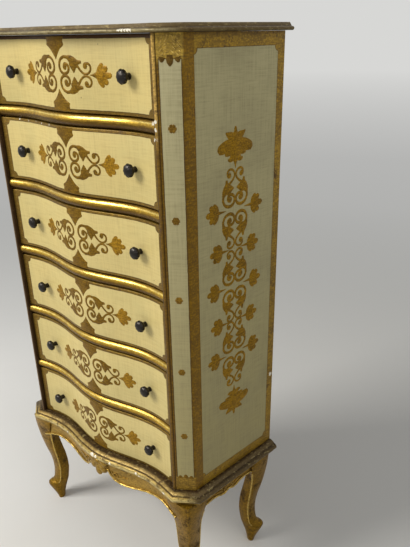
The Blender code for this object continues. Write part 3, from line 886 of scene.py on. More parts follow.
def painted_field(name, paints_with_painted_light, place_of, half_size, corner, staining, streaking, border,
                  chips):
    """Paint inside a gilt border with a dark line between them.

    The first two paints are the paint at the foot of the case and at its top, and the last two
    its stain and its streaks; on the sides and the posts the paint is lighter at the top, as a
    painted light that falls off down the case. place_of gives the two places on the face from a
    node tree, and border holds the border's gold from a tree, its wear, its speck scale and the
    height of its tooling.
    """
    tree, shader = new_material(name)
    across, up = place_of(tree)
    field = use_group(
        tree,
        "framed_field",
        {
            "Across": across,
            "Up": up,
            "Half Width": half_size[0],
            "Half Height": half_size[1],
            "Corner": corner,
        },
    )
    height = height_in(tree)
    # The paint turns from its foot colour to its top colour with height: on the sides and the posts a
    # painted light that makes them lighter towards the top
    high = step_between(tree, height, BASE_TOP + 0.1 * CASE_HEIGHT, TOP_UNDERSIDE)
    coat = use_group(
        tree,
        "brushed_paint",
        {
            "Paint": blend_colours(tree, high, paints_with_painted_light[0], paints_with_painted_light[1]),
            "Stain": paints_with_painted_light[2],
            "Streak": paints_with_painted_light[3],
            "Staining": staining,
            "Streaking": streaking,
        },
    )
    tone, wear, specks, depth = border
    leaf = worn_leaf(tree, tone(tree), colour("bole"), wear, 30.0, specks, 0.4, 0.3)
    mask = field["Mask"]
    tint = blend_colours(tree, mask, leaf["Color"], coat["Color"])
    tint = blend_colours(tree, times(tree, field["Line"], 0.7), tint, DARK_LINE_AND_PAINTED_SHADE)
    tooling = times(tree, leaf["Height"], depth)
    relief = blend_numbers(tree, mask, tooling, coat["Height"])
    surface = {
        "Base Color": chipped(tree, tint, chips),
        "Metallic": times(tree, leaf["Metallic"], minus(tree, 1.0, mask)),
        "Roughness": blend_numbers(tree, mask, leaf["Roughness"], coat["Roughness"]),
        "Normal": bump(tree, relief, 0.12 * MM),
    }
    fill(tree, shader, surface)


def above_nearest(tree, level):
    """Height above the nearest level that lies a whole number of drawer pitches from one."""
    rise = minus(tree, height_in(tree), level - DRAWER_PITCH / 2)
    return minus(tree, calc(tree, "FLOORED_MODULO", rise, DRAWER_PITCH), DRAWER_PITCH / 2)


def drawer_place(tree):
    across = axes_of(tree, object_place(tree))["X"]
    return across, above_nearest(tree, DRAWER_FLOORS[6] + OPENING_HEIGHT / 2)


def side_place(tree):
    place = axes_of(tree, object_place(tree))
    middle = (SIDE_FIELD_FRONT + SIDE_FIELD_REAR) / 2
    level = CASE_MIDDLE + (SIDE_BASE_BORDER - SIDE_TOP_BORDER) / 2
    return minus(tree, place["Y"], middle), minus(tree, place["Z"], level)


def cant_place(tree):
    place = axes_of(tree, object_place(tree))
    along_x = minus(tree, calc(tree, "ABSOLUTE", place["X"]), STILE_OUTER + CANT_WIDTH / 2)
    along_y = minus(tree, place["Y"], STILE_Y + CANT_DEPTH / 2)
    slope = times(tree, along_y, CANT_DEPTH / CANT_LENGTH)
    across = calc(tree, "MULTIPLY_ADD", along_x, CANT_WIDTH / CANT_LENGTH, slope)
    level = CASE_MIDDLE + (POST_BASE_CAP - POST_TOP_CAP) / 2
    return across, minus(tree, place["Z"], level)


def rail_tone_with_painted_light(tree):
    """Gold with a painted highlight on the upper half of each rail's nose, and painted shade that
    turns it brown below it.
    """
    level = above_nearest(tree, DRAWER_FLOORS[6] - RAIL_HEIGHT / 2)
    share = step_between(tree, level, -RAIL_HEIGHT / 2, RAIL_HEIGHT / 2)
    # The bright stops from 0.68 to 0.76 are a painted highlight, the brown stops below them are
    # painted shade, and the dark stops at both ends are painted shadow in the gaps above and below the
    # rail
    stops = (
        (0.0, shade(0.025, 0.012, 0.004)),
        (0.18, shade(0.075, 0.04, 0.010)),
        (0.42, shade(0.16, 0.09, 0.012)),
        (0.56, shade(0.44, 0.26, 0.03)),
        (0.68, shade(0.62, 0.40, 0.055)),
        (0.76, shade(0.90, 0.68, 0.20)),
        (0.84, shade(0.44, 0.27, 0.035)),
        (0.93, shade(0.16, 0.09, 0.015)),
        (1.0, shade(0.03, 0.015, 0.005)),
    )
    return ramp_of(tree, share, stops)


def ornament_tone(tree):
    """Brown leaf on the scrolls, and brighter leaf on the palmettes at the ends."""
    across = calc(tree, "ABSOLUTE", axes_of(tree, object_place(tree))["X"])
    out = step_between(tree, across, 92 * MM, 104 * MM)
    return blend_colours(tree, out, shade(0.185, 0.10, 0.007), shade(0.31, 0.165, 0.010))


def post_trim_tone(tree):
    """Leaf on the rosettes, and almost bare ground on the pendant under the top cap."""
    high = step_between(tree, height_in(tree), TOP_UNDERSIDE - 70 * MM, TOP_UNDERSIDE - 60 * MM)
    return blend_colours(tree, high, shade(0.22, 0.12, 0.014), shade(0.12, 0.068, 0.012))


def drawer_border_tone_with_painted_shadow(tree):
    """Brown gold, with a painted shadow of the top board on the border above the field of the highest
    drawer.
    """
    field_top = TOP_UNDERSIDE - sizes().drawer_border
    # Painted shadow under the top board
    high = step_between(tree, height_in(tree), field_top - 1.5 * MM, field_top - 0.5 * MM)
    return blend_colours(tree, high, shade(0.20, 0.118, 0.012), shade(0.075, 0.032, 0.006))


def side_border_tone_with_painted_shade(tree):
    """Leaf, with a painted shade that darkens it under the top board."""
    high = step_between(tree, height_in(tree), TOP_UNDERSIDE - 9 * MM, TOP_UNDERSIDE)
    return blend_colours(tree, high, shade(0.34, 0.20, 0.014), shade(0.20, 0.11, 0.010))


def post_border_tone_with_painted_shade(tree):
    """Brown leaf at the borders, brighter on both caps and high up on the stile's bead, with painted
    shadow in the gap beside the drawers and painted shade in the quirk.
    """
    at = axes_of(tree, object_place(tree))
    across = calc(tree, "ABSOLUTE", at["X"])
    cant = step_between(tree, across, STILE_OUTER - 2 * MM, STILE_OUTER)
    high = step_between(tree, at["Z"], DRAWER_FLOORS[1] - 60 * MM, DRAWER_FLOORS[1] + 10 * MM)
    bead = blend_colours(tree, high, shade(0.17, 0.09, 0.008), shade(0.54, 0.34, 0.08))
    foot = step_between(tree, at["Z"], BASE_TOP + POST_BASE_CAP + 4 * MM, BASE_TOP + POST_BASE_CAP)
    face = blend_colours(tree, foot, shade(0.155, 0.082, 0.003), shade(0.33, 0.20, 0.025))
    cap = step_between(tree, at["Z"], TOP_UNDERSIDE - 48 * MM, TOP_UNDERSIDE - 36 * MM)
    face = blend_colours(tree, cap, face, shade(0.44, 0.285, 0.045))
    tint = blend_colours(tree, cant, bead, face)
    back = step_between(tree, at["Y"], STILE_Y + CANT_DEPTH - 2 * MM, STILE_Y + CANT_DEPTH + MM)
    tint = blend_colours(tree, back, tint, shade(0.235, 0.125, 0.004))
    # Painted shadow in the gap between the drawer fronts and the stile's bead
    inner = step_between(tree, across, OPENING_HALF + 4 * MM, OPENING_HALF + 2.4 * MM)
    tint = blend_colours(tree, inner, tint, DARK_LINE_AND_PAINTED_SHADE)
    # Painted shade in the quirk between the stile's bead and the canted face
    beside = calc(tree, "ABSOLUTE", minus(tree, across, STILE_OUTER))
    quirk = minus(tree, 1.0, step_between(tree, beside, 0.6 * MM, 1.4 * MM))
    return blend_colours(tree, quirk, tint, shade(0.07, 0.037, 0.006))


def banded(name, front_stops, side_colour_and_shade_stops, low, high, wear, chips):
    """A rubbed moulding whose colour changes with height, paler along the front and darker along the
    sides, partly as a painted shade on the sides.
    """
    tree, shader = new_material(name)
    place = object_place(tree)
    at = axes_of(tree, place)
    waver = minus(tree, noise_at(tree, place, 45.0), 0.5)
    height = calc(tree, "MULTIPLY_ADD", waver, 2.0 * MM, at["Z"])
    share = step_between(tree, height, low, high)
    # The side stops hold the side's own colour together with a painted shade
    side_share_with_shade = step_between(tree, at["Y"], STILE_Y - 4 * MM, STILE_Y + 14 * MM)
    bands = blend_colours(
        tree, side_share_with_shade, ramp_of(tree, share, front_stops), ramp_of(tree, share, side_colour_and_shade_stops)
    )
    patches = noise_at(tree, place, 38.0, 5.0, 0.65)
    marbling = noise_at(tree, stretched(tree, place, (75, 75, 260)), 1.0, 4.0, 0.65)
    specks = noise_at(tree, place, 330.0, 3.0)
    mixed = calc(tree, "MULTIPLY_ADD", specks, 0.3, patches)
    rubbed = step_between(tree, mixed, 0.9 - wear, 1.02 - wear)
    tint = blend_colours(tree, rubbed, bands, shade(0.085, 0.05, 0.018))
    veins = times(tree, step_between(tree, marbling, 0.50, 0.60), 0.6)
    tint = blend_colours(tree, veins, tint, shade(0.13, 0.09, 0.03))
    pale = times(tree, step_between(tree, marbling, 0.44, 0.34), 0.45)
    tint = blend_colours(tree, pale, tint, colour("silver"))
    freckles = times(tree, step_between(tree, specks, 0.54, 0.66), 0.5)
    tint = blend_colours(tree, freckles, tint, shade(0.085, 0.05, 0.018))
    surface = {
        "Base Color": chipped(tree, tint, chips),
        "Roughness": calc(tree, "MULTIPLY_ADD", specks, 0.25, 0.27),
        "Metallic": 0.25,
        "Specular IOR Level": 0.12,
        "Normal": bump(tree, plus(tree, specks, patches), 0.25 * MM),
    }
    fill(tree, shader, surface)


def raw_wood(name, pale, dark, grain):
    """Bare boards. grain is how much the figure is packed along X, Y and Z."""
    tree, shader = new_material(name)
    place = object_place(tree)
    rings = noise_at(tree, stretched(tree, place, grain), 1.0, 4.0, 0.6)
    fibres = noise_at(tree, stretched(tree, place, tuple(12 * s for s in grain)), 1.0, 3.0, 0.6)
    share = calc(tree, "MULTIPLY_ADD", fibres, 0.4, times(tree, rings, 0.6))
    tint = blend_colours(tree, step_between(tree, share, 0.38, 0.64), pale, dark)
    surface = {
        "Base Color": tint,
        "Roughness": calc(tree, "MULTIPLY_ADD", fibres, 0.2, 0.55),
        "Normal": bump(tree, fibres, 0.15 * MM),
    }
    fill(tree, shader, surface)


def knob_bronze(name):
    tree, shader = new_material(name)
    place = object_place(tree)
    grain = noise_at(tree, place, 360.0, 3.0)
    tone = step_between(tree, noise_at(tree, place, 230.0), 0.47, 0.60)
    tint = blend_colours(tree, tone, colour("bronze"), shade(0.085, 0.062, 0.022))
    surface = {
        "Base Color": tint,
        "Roughness": calc(tree, "MULTIPLY_ADD", grain, 0.3, 0.46),
        "Metallic": 0.5,
        "Specular IOR Level": 0.08,
        "Specular Tint": shade(1.0, 0.80, 0.52),
        "Normal": bump(tree, grain, 1.2 * MM),
    }
    fill(tree, shader, surface)


# Ornament, in millimetres from the middle of a scroll group: across, up, half width

LARGE_SCROLL = (
    (24, 31.6, 2.1), (14, 27, 2.2), (8.8, 18, 2.3), (9.6, 9.5, 2.3), (15.5, 3.4, 2.2),
    (23, 1.8, 2.1), (30.5, 4.4, 2.2), (34.3, 10.5, 2.3), (32.8, 16, 2.1), (28.5, 18.6, 2.2),
    (24.8, 17.4, 3.4), (24.3, 13.6, 4.5), (26, 10.2, 2.6), (26.8, 9, 0.5),
)
LEAF_BODY = (
    (22, 31.6, 2.1), (32, 30.6, 2.4), (40, 28, 5), (48, 23.5, 6.2), (55, 20, 4.2), (58, 17.5, 1.8),
)
LEAF_DROP = ((43, 28, 4.5), (46, 20, 7), (47.5, 12, 5.2), (47.5, 6, 2.2), (47.3, 3, 0.2))
LEAF_TOOTH = ((44, 18, 3), (40, 16, 1.2), (37.5, 15.5, 0.3))
LEAF_LOBE = ((50, 24, 5), (58, 22, 3.4), (64, 22.3, 2.4), (67.5, 22.6, 1.9))
LEAF_SPUR = ((50, 16, 4), (55, 13.5, 1.5), (56.5, 12.5, 0.3))
SMALL_SCROLL = (
    (55, 20, 2.2), (60, 13, 1.9), (66, 6.5, 1.7), (72.5, 2.5, 1.7), (79, 2, 1.7), (85.5, 5, 1.7),
    (89, 11, 1.7), (87.5, 17, 1.7), (82.5, 20, 1.8), (80, 19.6, 2), (77.5, 17.8, 3.6),
    (77.3, 14.8, 4.2), (78.3, 12.2, 2.8), (79, 11.2, 0.6),
)
SCROLL_QUARTER = (
    LARGE_SCROLL, LEAF_BODY, LEAF_DROP, LEAF_TOOTH, LEAF_LOBE, LEAF_SPUR, SMALL_SCROLL,
)


def both_sides(strokes):
    """Adds the mirror image of each stroke across the line Across = 0."""
    return list(strokes) + [[(-across, up, half) for across, up, half in s] for s in strokes]


def both_rises(strokes):
    return list(strokes) + [[(across, -up, half) for across, up, half in s] for s in strokes]


def drawer_palmette():
    body = [
        (86.5, 0, 0.3), (93, 0, 1.6), (99, 0, 3.4), (105, 0, 6), (111, 0, 9), (118, 0, 10),
        (124, 0, 7),
    ]
    centre = [(118, 0, 5), (128, 0, 4.3), (135, 0, 3.8), (138.5, 0, 1.6)]
    upper = [(110, 3, 4), (118, 8, 5), (125, 12, 4.2), (128.5, 13.8, 2)]
    outer = [(105, 4, 3), (110, 10, 4.6), (115, 17, 3.8), (117.5, 20.5, 1.6)]
    return [body, centre] + both_rises([upper, outer])


def side_palmette(start, tip, height):
    """A five-lobed fan on a thin stem that points outwards."""
    fan = tip - 43
    scale = height / 39
    stem = [
        (start, 0, 0.3), (start + 8, 0, 1.1), (fan + 4, 0, 2.2), (fan + 12, 0, 6),
        (fan + 20, 0, 10), (fan + 28, 0, 8),
    ]
    centre = [(fan + 22, 0, 5), (fan + 32, 0, 4.6), (fan + 39, 0, 4), (tip, 0, 1.6)]
    upper = [(fan + 14, 3, 4), (fan + 22, 9, 5.2), (fan + 29, 13, 4.4), (fan + 33, 14.5, 2)]
    outer = [
        (fan + 8, 3, 3), (fan + 13, 9.5 * scale, 4.6), (fan + 18, 16 * scale, 3.8),
        (fan + 20.5, 19.5 * scale, 1.6),
    ]
    return [stem, centre] + both_rises([upper, outer])


def cartouche():
    """The leaf that hangs from the border above a scroll group."""
    body = [
        (0, 66, 20), (0, 57, 18.5), (0, 52, 20), (0, 48, 15), (0, 44, 11), (0, 38, 6.7),
        (0, 32, 3.2), (0, 26.5, 0.3),
    ]
    tip = [(10, 52, 6), (18, 51, 3.5), (25, 50.5, 0.5)]
    return [body] + both_sides([tip])


def winged_leaf():
    """The large leaf at each end of a side panel's ornament, with its tip at 0."""
    body = [
        (0, 0, 0.3), (0, 9, 3.4), (0, 18, 9), (0, 29, 17), (0, 41, 21), (0, 53, 17), (0, 63, 10),
        (0, 70, 4.5),
    ]
    crown = [(0, 66, 4), (0, 73, 4.6), (0, 78, 2.4)]
    wing = [(6, 42, 13), (22, 43, 13), (36, 40.5, 11.5), (45, 37, 10), (49.5, 33, 5.5)]
    point = [(6, 56, 11), (16, 61, 8.5), (24, 65, 4.5), (29, 68, 1.6)]
    tooth = [(4, 26, 9), (12, 19, 7), (18, 17, 4.2), (22.5, 18.5, 1.4)]
    side_tooth = [(12, 34, 10), (25, 29, 5.5), (31, 27.5, 2.2)]
    return [body, crown] + both_sides([wing, point, tooth, side_tooth])


def rosette(up, radius=9.6):
    """A small round flower of six petals."""
    petals = []
    for i in range(6):
        across, rise = math.cos(math.pi / 3 * i), math.sin(math.pi / 3 * i)
        petal = []
        for reach, half in ((0.15, 0.20), (0.50, 0.36), (0.78, 0.26)):
            petal.append((reach * radius * across, up + reach * radius * rise, half * radius))
        petals.append(petal)
    heart = ((-0.2, 0.2), (0, 0.34), (0.2, 0.2))
    petals.append([(share * radius, up, half * radius) for share, half in heart])
    return petals


def laid(strokes, shift=(0.0, 0.0), weight=1.0, across_to=(1, 0), up_to=(0, 1)):
    """Places strokes that are drawn across and up onto X and Z, in metres.

    weight makes the strokes broader or finer, and the last two turn and stretch them.
    """
    spread = weight * (math.hypot(*across_to) + math.hypot(*up_to)) / 2
    placed = []
    for stroke in strokes:
        points = []
        for across, up, half in stroke:
            x = shift[0] + (across * across_to[0] + up * up_to[0]) * MM
            z = shift[1] + (across * across_to[1] + up * up_to[1]) * MM
            points.append((x, z, half * spread * MM))
        placed.append(points)
    return placed


def spiral(eye, radius, end_radius, start, turns, half, blob):
    """A scroll that winds into its eye. start is in quarter turns, and turns may be negative."""
    points = []
    steps = round(abs(turns) * 10)
    for i in range(steps + 1):
        share = i / steps
        turn = math.pi / 2 * start + 2 * math.pi * turns * share
        reach = radius + (end_radius - radius) * share
        width = half * (1 - 0.3 * share)
        points.append((eye[0] + reach * math.cos(turn), eye[1] + reach * math.sin(turn), width))
    points[-1] = points[-1][:2] + (blob,)
    return points


# Operators


class CHEST_OT_stage(bpy.types.Operator):
    """Sets up the floor, the light and the camera"""

    bl_idname = "chest.stage"
    bl_label = "Stage"

    floor_size = 900
    floor_drop = 0.2 * MM
    sky_strength = 0.36
    far_tone = shade(0.68, 0.68, 0.665)

    # The camera's place is given from the middle of the stile face, at the base board's top
    camera_place = (1.1184, -0.798, 0.9577)
    camera_yaw = 43.0
    camera_pitch = 27.8
    camera_roll = -1.06
    camera_shift = 0.158
    focal_pixels = 620
    view_height_pixels = 547
    sensor_size = 36.0

    def execute(self, context):
        scene = context.scene
        scene.view_settings.view_transform = "Standard"
        self.floor()
        self.light(scene)
        self.camera(scene)
        return {"FINISHED"}

    def floor(self):
        """Adds a pale floor with a painted shade that darkens it towards the right, and a painted glow
        that takes it up to the room's far tone further away.
        """
        deselect()
        bpy.ops.mesh.primitive_plane_add(size=self.floor_size, location=(0, 0, -self.floor_drop))
        floor = take("floor")
        tree, shader = new_material("pale_floor")
        place = object_place(tree)
        at = axes_of(tree, place)
        clouds = calc(tree, "MULTIPLY_ADD", noise_at(tree, place, 3.0, 4.0), 0.5, at["X"])
        # Painted shade that darkens the floor towards the right
        painted_shade_rightwards = step_between(tree, plus(tree, clouds, at["Y"]), -1.0, 0.9)
        tint = blend_colours(tree, painted_shade_rightwards, shade(0.86, 0.855, 0.83), shade(0.68, 0.675, 0.645))
        tree.links.new(tint, shader.inputs["Base Color"])
        shader.inputs["Roughness"].default_value = 0.8
        # Further away, the camera and reflections see a painted glow that rises to the room's far tone
        reach = put(tree, "VectorMath", {0: place}, operation="LENGTH").outputs["Value"]
        reach = calc(tree, "LOGARITHM", reach, 2.0)
        stops = (
            (0.0, shade(0.40, 0.40, 0.385)),
            (0.45, shade(0.46, 0.46, 0.45)),
            (1.0, self.far_tone),
        )
        tone = ramp_of(tree, step_between(tree, reach, 1.0, 4.6), stops)
        glow = put(tree, "Emission", {"Color": tone})
        far = times(tree, step_between(tree, reach, 0.3, 2.0), self.seen_share(tree))
        mixed = put(tree, "MixShader", {0: far, 1: shader.outputs[0], 2: glow.outputs[0]})
        tree.links.new(mixed.outputs[0], tree.nodes["Material Output"].inputs["Surface"])
        floor.data.materials.append(material("pale_floor"))

    def seen_share(self, tree):
        """1 on rays that show the room to the camera or in a reflection."""
        path = put(tree, "LightPath").outputs
        seen = calc(tree, "MAXIMUM", path["Is Camera Ray"], path["Is Glossy Ray"])
        return calc(tree, "MAXIMUM", seen, path["Is Transmission Ray"])

    def light(self, scene):
        world = bpy.data.worlds.new("pale_room")
        world.use_nodes = True
        scene.world = world
        tree = world.node_tree
        back = tree.nodes["Background"]
        sky = shade(self.sky_strength, self.sky_strength, self.sky_strength)
        seen = self.seen_share(tree)
        tree.links.new(blend_colours(tree, seen, sky, self.far_tone), back.inputs["Color"])
        back.inputs["Strength"].default_value = 1.0
        self.lamp(scene, "window_light", (-1.9, -3.25, 3.31), (0, 0, 0.8), size=2.0, power=172)
        self.lamp(scene, "side_fill", (2.1, -0.7, 2.5), (0.3, 0, 1.0), size=1.6, power=9)

    def lamp(self, scene, name, place, target, size, power):
        data = bpy.data.lights.new(name, "AREA")
        data.energy = power
        data.size = size
        data.color = (1.0, 0.98, 0.94)
        lamp = bpy.data.objects.new(name, data)
        lamp.location = place
        lamp.rotation_euler = (Vector(target) - Vector(place)).to_track_quat("-Z", "Y").to_euler()
        scene.collection.objects.link(lamp)

    def camera(self, scene):
        camera = bpy.data.cameras.new("camera")
        camera.sensor_width = self.sensor_size
        camera.lens = self.focal_pixels / self.view_height_pixels * self.sensor_size
        camera.shift_y = self.camera_shift
        camera.clip_start = 0.05
        camera.clip_end = 2000
        holder = bpy.data.objects.new("camera", camera)
        turn = Matrix.Rotation(math.radians(self.camera_yaw), 3, "Z")
        turn = turn @ Matrix.Rotation(math.radians(90 - self.camera_pitch), 3, "X")
        turn = turn @ Matrix.Rotation(math.radians(self.camera_roll), 3, "Z")
        right, ahead, up = self.camera_place
        place = Matrix.Translation((right, STILE_Y + ahead, BASE_TOP + up))
        holder.matrix_world = place @ turn.to_4x4()
        scene.collection.objects.link(holder)
        scene.camera = holder


class CHEST_OT_finishes(bpy.types.Operator):
    """Builds the shared node groups and the finishes"""

    bl_idname = "chest.finishes"
    bl_label = "Finishes"

    def execute(self, context):
        build_gilding_group()
        build_paint_group()
        build_field_group()
        build_chip_group()
        self.gilt()
        self.painted()
        self.moulded()
        raw_wood("drawer_wood", shade(0.42, 0.28, 0.15), shade(0.30, 0.18, 0.09), (6, 6, 60))
        raw_wood("back_wood", shade(0.26, 0.17, 0.09), shade(0.17, 0.10, 0.05), (40, 6, 5))
        knob_bronze("dark_bronze")
        self.dress_solids()
        return {"FINISHED"}

    def gilt(self):
        rail_chips = chips_along(RAIL_CHIPS, MM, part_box("divider_rail_1")[1].z)
        gilding("rail_gilding", rail_tone_with_painted_light, wear=0.28, patches=26.0, dullness=0.19,
                chips=rail_chips)
        gilding("bright_gilding", colour("gold"), wear=0.36, patches=70.0, dullness=0.14)
        thin_ground = shade(0.050, 0.024, 0.004)
        gilding("post_trim_gilding", post_trim_tone, thin_ground, specks=300.0, shine=0.2)
        gilding("ornament_gilding", ornament_tone, thin_ground, specks=300.0, shine=0.15)
        gilding("side_ornament_gilding", shade(0.30, 0.16, 0.006), thin_ground, specks=300.0,
                shine=0.15)
        carved_ground = shade(0.07, 0.036, 0.010)
        gilding("carved_gilding", shade(0.38, 0.235, 0.045), carved_ground, wear=0.46, patches=45.0,
                shine=0.5, dullness=0.22, depth=0.4)
        gilding("leg_gilding", shade(0.24, 0.132, 0.010), shade(0.045, 0.022, 0.004), wear=0.54,
                patches=32.0, specks=260.0, shine=0.40, dullness=0.24, depth=0.4)
        gilding("shell_gilding", shade(0.36, 0.22, 0.04), carved_ground, patches=60.0, shine=0.4,
                dullness=0.24, depth=0.3)

    def painted(self):
        own = sizes()
        second_top = DRAWER_FLOORS[1] - RAIL_HEIGHT - DRAWER_GAP
        bead = (OPENING_HALF + STILE_BEAD_WIDTH / 2, STILE_Y - STILE_BEAD_PROUD)
        post_chips = [(bead + (second_top + rise * MM,), POST_CHIP_RADIUS) for rise in POST_CHIP_RISES]
        side_chip = (CASE_HALF, CASE_REAR - SIDE_CHIP_INSET, SIDE_CHIP_HEIGHT)
        painted_field(
            "drawer_face",
            (
                shade(0.63, 0.51, 0.21),
                colour("cream"),
                shade(0.50, 0.43, 0.18),
                shade(0.40, 0.29, 0.10),
            ),
            drawer_place,
            (own.drawer_field, OPENING_HEIGHT / 2 - own.drawer_border),
            corner=own.corner_scallop,
            staining=0.5,
            streaking=0.45,
            border=(drawer_border_tone_with_painted_shadow, 0.38, 300.0, 1.0),
            chips=chips_along(DRAWER_CHIPS, FRONT_SETBACK, second_top),
        )
        painted_field(
            "side_face",
            (
                # A darker paint at the foot and a lighter one at the top: painted light that falls off
                # down the side
                shade(0.375, 0.32, 0.142),
                colour("celadon"),
                shade(0.31, 0.27, 0.14),
                shade(0.20, 0.165, 0.08),
            ),
            side_place,
            (
                (SIDE_FIELD_REAR - SIDE_FIELD_FRONT) / 2,
                (CASE_HEIGHT - SIDE_TOP_BORDER - SIDE_BASE_BORDER) / 2,
            ),
            corner=own.corner_scallop,
            staining=0.5,
            streaking=0.45,
            border=(side_border_tone_with_painted_shade, 0.42, 260.0, 2.0),
            chips=[(side_chip, SIDE_CHIP_RADIUS)],
        )
        painted_field(
            "post_face",
            (
                # A darker paint at the foot and a lighter one at the top: painted light that falls off
                # down the post
                shade(0.39, 0.325, 0.14),
                colour("post_celadon"),
                shade(0.36, 0.33, 0.17),
                shade(0.25, 0.21, 0.10),
            ),
            cant_place,
            (POST_FIELD_HALF, (CASE_HEIGHT - POST_TOP_CAP - POST_BASE_CAP) / 2),
            corner=0.5 * MM,
            staining=0.4,
            streaking=0.5,
            border=(post_border_tone_with_painted_shade, 0.38, 240.0, 2.5),
            chips=post_chips,
        )

    def moulded(self):
        taupe = colour("taupe")
        dusk = shade(0.13, 0.09, 0.04)
        olive = shade(0.165, 0.125, 0.05)
        top_overhang = STILE_Y - CENTRE_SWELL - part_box("top_board")[0].y
        banded(
            "top_moulding",
            # The dark line stops are painted shade under the board and in its groove, and the darker
            # side stops add a painted shade on the sides
            ((0.0, DARK_LINE_AND_PAINTED_SHADE), (0.10, olive), (0.30, shade(0.34, 0.29, 0.16)), (0.44, olive),
             (0.53, DARK_LINE_AND_PAINTED_SHADE), (0.60, dusk), (0.9, taupe), (1.0, taupe)),
            ((0.0, DARK_LINE_AND_PAINTED_SHADE), (0.12, olive), (0.30, dusk), (0.46, dusk), (0.53, DARK_LINE_AND_PAINTED_SHADE),
             (0.62, dusk), (1.0, taupe)),
            TOP_UNDERSIDE, TOP_SURFACE, 0.2,
            chips_along(TOP_CHIPS, -top_overhang, TOP_UNDERSIDE),
        )
        brown = shade(0.105, 0.072, 0.034)
        fascia = shade(0.32, 0.195, 0.03)
        base_overhang = STILE_Y - CENTRE_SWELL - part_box("base_board")[0].y
        banded(
            "base_moulding",
            # The dark line stops are painted shadow in the bead's undercut, in the groove and in the
            # gap under the drawers, and the darker side stops add a painted shade on the sides
            ((0.0, fascia), (0.18, fascia), (0.235, DARK_LINE_AND_PAINTED_SHADE), (0.29, shade(0.24, 0.15, 0.03)),
             (0.38, shade(0.54, 0.40, 0.13)), (0.50, shade(0.62, 0.50, 0.22)),
             (0.64, shade(0.56, 0.42, 0.14)), (0.725, shade(0.36, 0.24, 0.06)), (0.765, DARK_LINE_AND_PAINTED_SHADE),
             (0.82, shade(0.42, 0.29, 0.09)), (0.91, shade(0.31, 0.205, 0.055)),
             (0.96, DARK_LINE_AND_PAINTED_SHADE), (1.0, DARK_LINE_AND_PAINTED_SHADE)),
            ((0.0, fascia), (0.17, shade(0.22, 0.13, 0.02)), (0.235, DARK_LINE_AND_PAINTED_SHADE), (0.30, brown),
             (0.62, brown), (0.765, shade(0.035, 0.022, 0.01)), (0.82, brown), (0.92, dusk),
             (1.0, DARK_LINE_AND_PAINTED_SHADE)),
            BASE_UNDERSIDE, BASE_TOP, 0.2,
            chips_along(BASE_CHIPS, -base_overhang, (BASE_UNDERSIDE + BASE_TOP) / 2),
        )

    def dress_solids(self):
        """Gives every solid the finish of its kind, for those that stay in view."""
        kinds = {
            "worn_gilding": "carved_gilding",
            "rubbed_moulding": "base_moulding",
            "celadon_paint": "side_face",
            "cream_paint": "drawer_face",
            "drawer_wood": "drawer_wood",
            "dark_bronze": "dark_bronze",
        }
        for entry in frame["record"]["subparts"]:
            node = frame["nodes"][entry["node"]]
            node.data.materials.clear()
            node.data.materials.append(material(kinds[entry["material_slot"]]))
        frame["nodes"]["back_panel"].data.materials[0] = material("back_wood")
        frame["nodes"]["rear_apron"].data.materials[0] = material("back_wood")


class CHEST_OT_boards(bpy.types.Operator):
    """Models the moulded top and base boards"""

    bl_idname = "chest.boards"
    bl_label = "Top and base boards"

    def execute(self, context):
        self.board("moulded_top", "top_board", TOP_EDGE_SHARES, "top_moulding")
        self.board("moulded_base", "base_board", BASE_EDGE_SHARES, "base_moulding")
        return {"FINISHED"}

    def board(self, name, node, edge_shares, finish):
        low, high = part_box(node)
        overhang = high.x - CASE_HALF
        rings = []
        for height_share, reach_share in edge_shares:
            z = low.z + (high.z - low.z) * height_share
            rings.append([(x, y, z) for x, y in board_outline(overhang * reach_share)])
        piece = add_sections(name, rings)
        smooth(piece, 50)
        finish_piece(piece, finish, "case", "rubbed_moulding", node)


